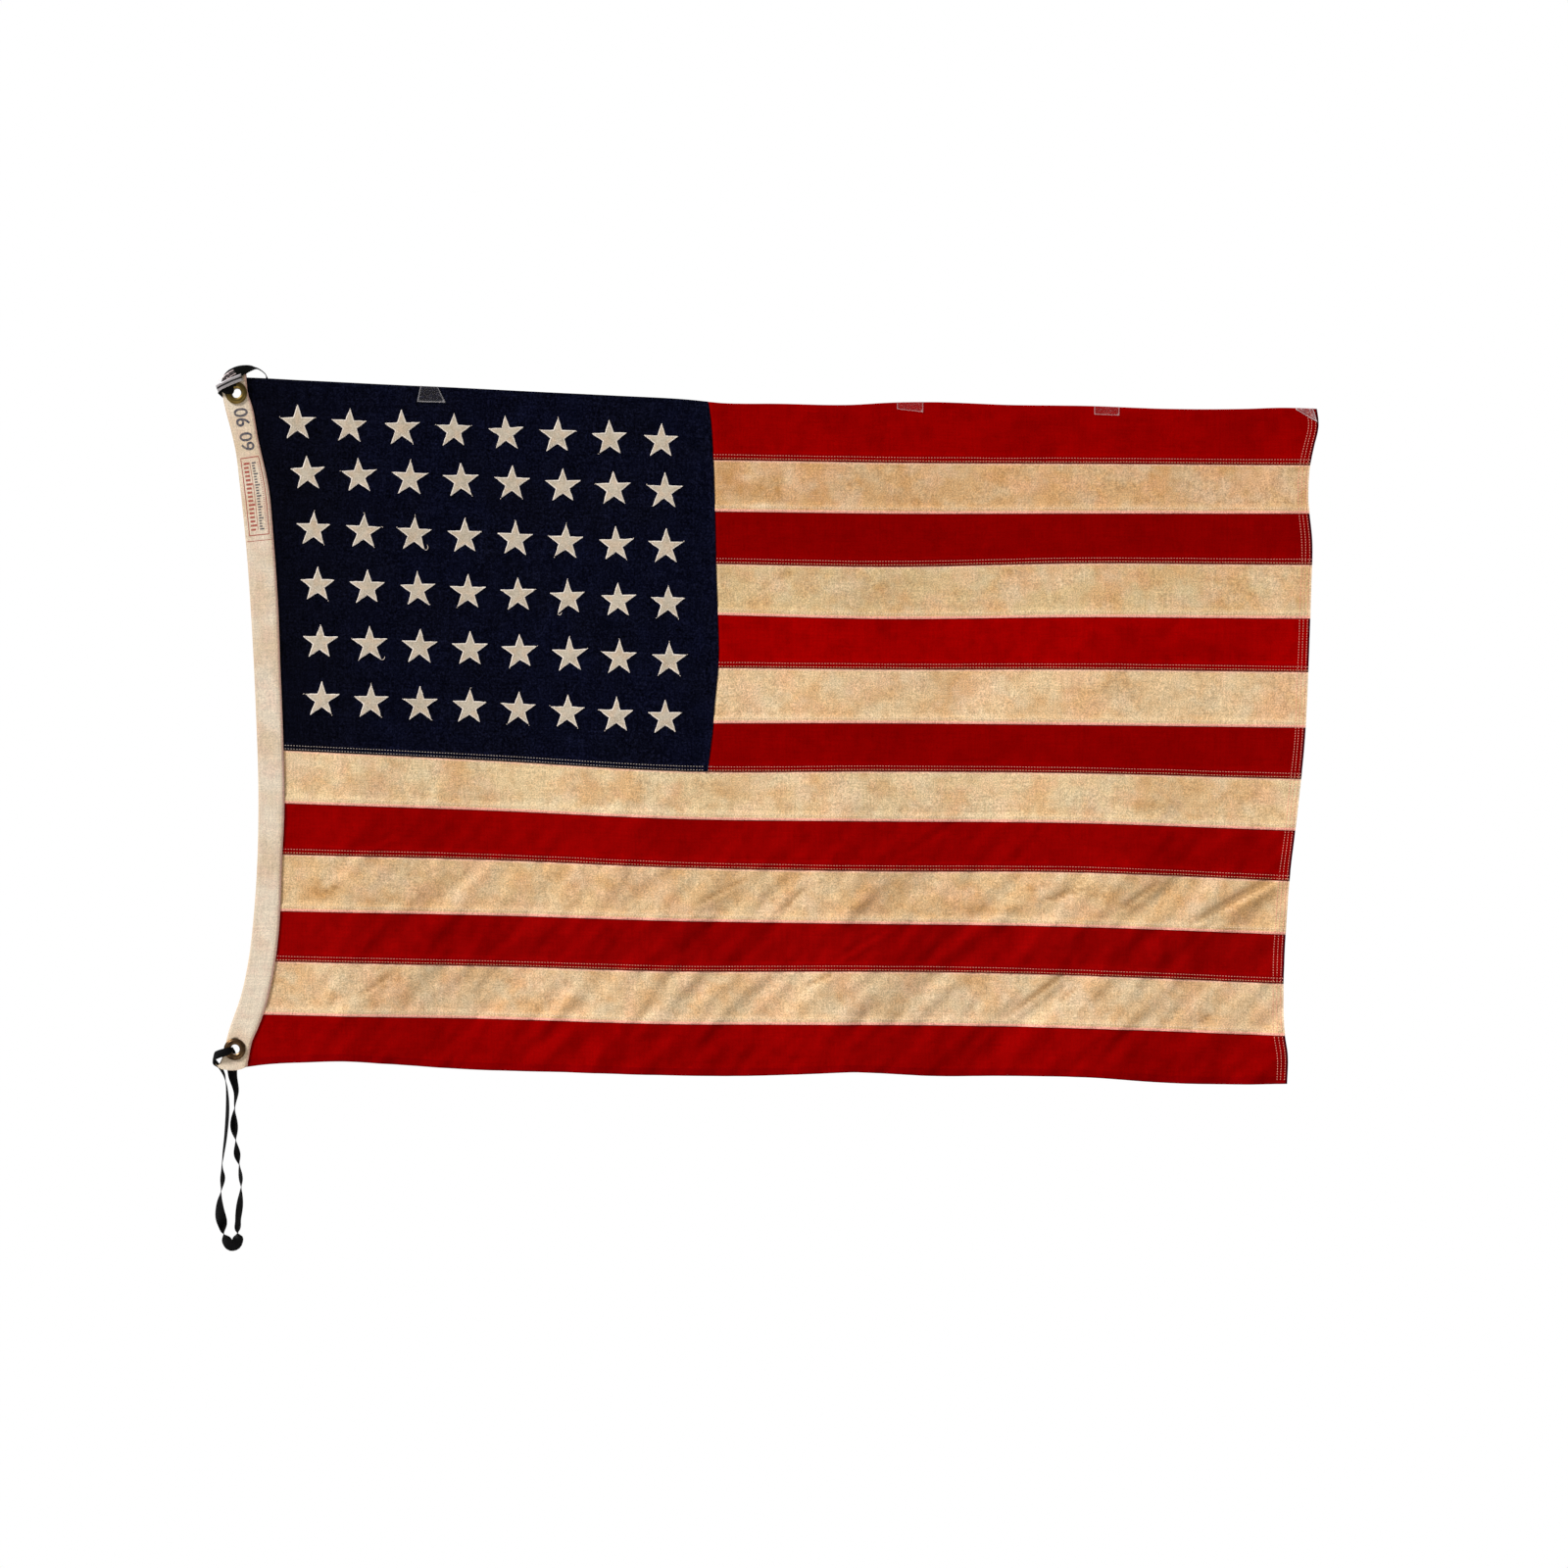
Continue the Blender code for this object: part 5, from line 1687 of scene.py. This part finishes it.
@dataclass(frozen=True)
class Studio:
    """The camera, the soft lights and the pale floor.

    lamps are a name, a direction, a strength and the angle that the light seems to come from.
    floor is its half width, its near and far edges along Y and its height.
    """

    middle: Spot = (12.9, -333.7)
    view_width: float = 1376.0
    lens: float = 85.0
    floor: tuple[float, float, float, float] = (4000.0, -4000.0, 3000.0, -1700.0)
    ambient: float = 0.2
    lamps: tuple[tuple[str, tuple[float, float, float], float, float], ...] = (
        ("key", (0.62, 0.36, -0.66), 4.9, 12.0), ("fill", (-0.5, 0.55, 0.35), 0.35, 40.0),
        ("rear", (0.3, -0.8, -0.6), 1.6, 40.0))

    def make(self) -> None:
        """Sets the camera square to the cloth, as a long lens sees it, and lights it."""
        scene = bpy.context.scene
        camera = link("camera", bpy.data.cameras.new("camera"))
        camera.data.lens, camera.data.clip_end = self.lens, 50.0
        distance = self.view_width * MM * self.lens / camera.data.sensor_width
        camera.location = (self.middle[0] * MM, -distance, self.middle[1] * MM)
        camera.rotation_euler = (math.pi / 2, 0.0, 0.0)
        scene.camera = camera
        scene.view_settings.view_transform = "Standard"
        for name, direction, strength, soft in self.lamps:
            lamp = link(name, bpy.data.lights.new(name, "SUN"))
            lamp.data.energy, lamp.data.angle = strength, math.radians(soft)
            lamp.rotation_mode = "QUATERNION"
            lamp.rotation_quaternion = Vector(direction).to_track_quat("-Z", "Y")
        self.light_room(scene)
        x, near, far, z = self.floor
        corners = [(-x, near, z), (x, near, z), (x, far, z), (-x, far, z)]
        build("floor", corners, [(0, 1, 2, 3)], Paper("pale_floor").material())

    def light_room(self, scene: bpy.types.Scene) -> None:
        """A room of soft light, whose walls the camera sees white.

        Args:
            scene: the scene that takes it.
        """
        scene.world = bpy.data.worlds.new("room")
        scene.world.use_nodes = True
        scene.world.node_tree.nodes.clear()
        add = partial(add_node, scene.world.node_tree)
        seen = add("ShaderNodeLightPath", out="Is Camera Ray")
        glow = add("ShaderNodeMapRange", {0: seen, 3: self.ambient})
        sky = add("ShaderNodeBackground", {"Color": (1.0, 1.0, 1.0, 1.0), "Strength": glow})
        add("ShaderNodeOutputWorld", {"Surface": sky})


class Flag:
    """The whole dressed flag."""

    def __init__(self) -> None:
        """Builds the finishes that several pieces share, and the stitch tree."""
        self.thread = {name: Thread(f"{name}_thread", colour).material() for name, colour in (
            ("rose", "#ec988a"), ("tan", "#e0a884"), ("cream", "#f6e0c4"), ("blush", "#f4c2b0"),
            ("star", "#efe2d4"), ("worn", "#b4aaa4"))}
        self.stitcher = StitchMaker()

    def ties(self) -> None:
        """The two ribbon ties."""
        black = BlackRibbon("black_ribbon", "#030304", "#141316").material()
        Ribbon("ribbon_lower", "tie_lower", LOWER_RIBBON, "object").make(black)
        Ribbon("ribbon_upper", "tie_upper", UPPER_RIBBON, "bare").make(black)

    def seam_row(self, number: int, offset: float, side: int) -> Array:
        """A stitched row above a seam, from its left end to the fly.

        Args:
            number: which seam.
            offset: the row's height over it.
            side: the front or the back.

        Returns:
            The row's points.
        """
        seam, left = SEAMS[number], CANTON_LINE if number <= CANTON_STRIPES else HOIST_LINE
        start, stop = left.at(seam.at(0.0)) + 1.0, FLY_LINE.at(seam.at(460.0)) - 0.8
        x = np.linspace(float(start), float(stop), 320)
        z = seam.at(x) + offset + 0.25 * ripple(x, 0 * x, 38.0, 1.0, 0.0, number + offset)
        return lay(x, FIELD.face(x, z, side), z)

    def hang(self, panel: Panel, finish: Material, slot: str, node: str, sewing: Callable[[], list]) -> None:
        """Args:
            panel: the cut piece.
            finish: its material.
            slot: its slot.
            node: the solid that it stands for.
            sewing: makes what is sewn to it.
        """
        piece = declare(panel.make(finish), slot, node)
        panel.flat()
        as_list(sewing())
        LOG.info("%s flat %s", piece.name, panel.flat())

    def stripe_sewing(self, number: int) -> list[Object]:
        """The stitches of the seam below a stripe: two threads in front, one behind.

        Args:
            number: which stripe.

        Returns:
            The stitches, none at the lowest stripe.
        """
        if number == STRIPES:
            return []
        upper, lower = ("rose", "tan") if number % 2 else ("cream", "blush")
        low, high = SEWN_ROWS
        return [self.stitcher.sew(f"seam_{number:02d}_{label}",
                                  [self.seam_row(number, offset, side) for offset in offsets],
                                  self.thread[thread], sides=4 if side > 0 else 3)
                for label, side, offsets, thread in (
                    ("upper", 1, (high,), upper), ("lower", 1, (low,), lower),
                    ("back", -1, SEWN_ROWS, upper))]

    def field(self) -> None:
        """The stripes with their seams and the hem."""
        for number in range(1, STRIPES + 1):
            cotton, ground = RED if number % 2 else WHITE, STRIPE_GROUNDS[number - 1]
            finish = replace(cotton, name=f"{cotton.name}_{number:02d}", ground=ground).material()
            self.hang(FIELD.stripe(number), finish, cotton.name, f"stripe_{number:02d}",
                      partial(self.stripe_sewing, number))
        z = np.linspace(-8.0, -593.0, 330)
        for side, label in FACES.items():
            rows = []
            # Three rows of stitches down the hem, of which the inner one wanders
            for inset, wander in ((2.5, 0.15), (6.0, 0.4), (9.2, 0.8)):
                x = FLY_LINE.at(z) - inset + wander * ripple(z, 0 * z, 45.0, 1.0, 0.0, inset)
                rows.append(lay(x, FIELD.face(x, z, side) - (0.55 if side < 0 else 0.0), z))
            self.stitcher.sew(f"hem_stitches_{label}", rows, self.thread["rose"], pitch=2.3,
                              sides=4 if side > 0 else 3)

    def canton(self) -> None:
        """The canton with its star pieces and their sewing."""
        self.hang(FIELD.canton(), NAVY.material(), "blue_cotton", "canton", self.canton_sewing)

    def canton_sewing(self) -> list[Object]:
        """The star pieces, their stitches and loose ends, and the stitches of the canton's lower seam.

        Returns:
            The pieces.
        """
        stars, finish, x = Stars(), STAR_WHITE.material(), np.linspace(-424.0, -51.0, 180)
        parts = []
        for side, label in FACES.items():
            parts.append(stars.sheet(side, finish))
            parts.append(self.stitcher.sew(f"star_stitches_{label}", stars.seam_rows(side),
                                           self.thread["star"], pitch=1.9, length=1.5, thread=0.5, sides=3))
            heights = [SEAMS[CANTON_STRIPES].at(x) + offset for offset in SEWN_ROWS]
            rows = [lay(x, FIELD.face(x, z, side), z) for z in heights]
            parts.append(self.stitcher.sew(f"canton_seam_{label}", rows, self.thread["worn"],
                                           sides=4 if side > 0 else 3))
        return parts + [tubes("star_thread_ends", stars.loose_ends(), 0.22, self.thread["star"])]

    def hoist(self) -> None:
        """The heading with its print, sewing and eyelets."""
        heading = Heading()
        cloth = heading.make(CANVAS.material())
        red_ink, blue_ink = Ink("red_ink", "#a03530").material(), Ink("blue_ink", "#2b3148").material()
        parts = [self.stitcher.sew("heading_stitches", heading.seam_rows(), self.thread["cream"],
                                   "heading_canvas", sides=3),
                 heading.border(red_ink),
                 heading.numbers("60 90", (-43.0, -6.0), (0.8, 0.27), 0.012, blue_ink),
                 heading.rule(blue_ink)]
        for label, centre, brass in (
                ("upper", UPPER_EYELET, AgedBrass("gilt_brass", "#a08548", "#2b2310", shares=(0.27, 0.77))),
                ("lower", LOWER_EYELET, AgedBrass("bronzed_brass", "#8a6a48", "#2a1d16", shares=(0.4, 0.9)))):
            Eyelet().make(label, centre, brass.material())

    def tapes(self) -> None:
        """The clear tape along the top edge."""
        # Painted highlights: every film is brighter near its edges, the dark strip over the upper ribbon has
        # a bright band down its middle, and the crumpled and corner pieces have bright glints.
        clear = ClearTape("clear_tape").material()
        dark_highlit = ClearTape("dark_highlit_tape", ("#0a090b", 0.92), ("#c3bcbe", 0.92), (0.3, 0.7),
                            (3.0, 0.55, 0.6))
        crumpled = ClearTape("crumpled_tape", ("#d9c6c8", 0.04), ("#ecd6d4", 0.8), (0.3, 0.7), glint=0.85)
        bright = ClearTape("bright_tape", ("#d9d4d6", 0.06), ("#efe6e8", 0.55), glint=0.35)
        Tape("canton", (-306, -291), (-3, 7), (14, 14)).make(clear)
        Tape("middle", (112, 135), (0, 0), (6, 9)).make(clear)
        Tape("fly", (285, 307), (0, 0), (7.5, 7.5)).make(clear)
        Tape("corner", (462, 477), (0, 4), (1.5, 12), behind=1.2).make(bright.material())
        HoistTape("hoist", ((-484.4, 1.5, 12.7), (-483.4, 4.7, 13.3), (-479.6, 6.5, 15.2),
                            (-471.0, 6.9, 19.2), (-461.8, 6.3, 22.8)), 3.0, (-0.37, 0.93),
                  ("tape_hoist",)).make(dark_highlit.material())
        HoistTape("crumple", ((-481.0, 6.2, 18.4), (-477.2, 6.6, 21.4), (-472.6, 6.5, 25.0),
                              (-468.2, 6.1, 27.6)), 2.2, (-0.6, 0.8)).make(crumpled.material())


def main() -> None:
    """Builds the flag in its studio and reports each piece."""
    logging.basicConfig(level=logging.INFO, format="%(message)s")
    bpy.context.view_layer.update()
    Studio().make()
    flag = Flag()
    flag.ties()
    flag.field()
    flag.canton()
    flag.hoist()
    flag.tapes()


if __name__ == "__main__":
    main()
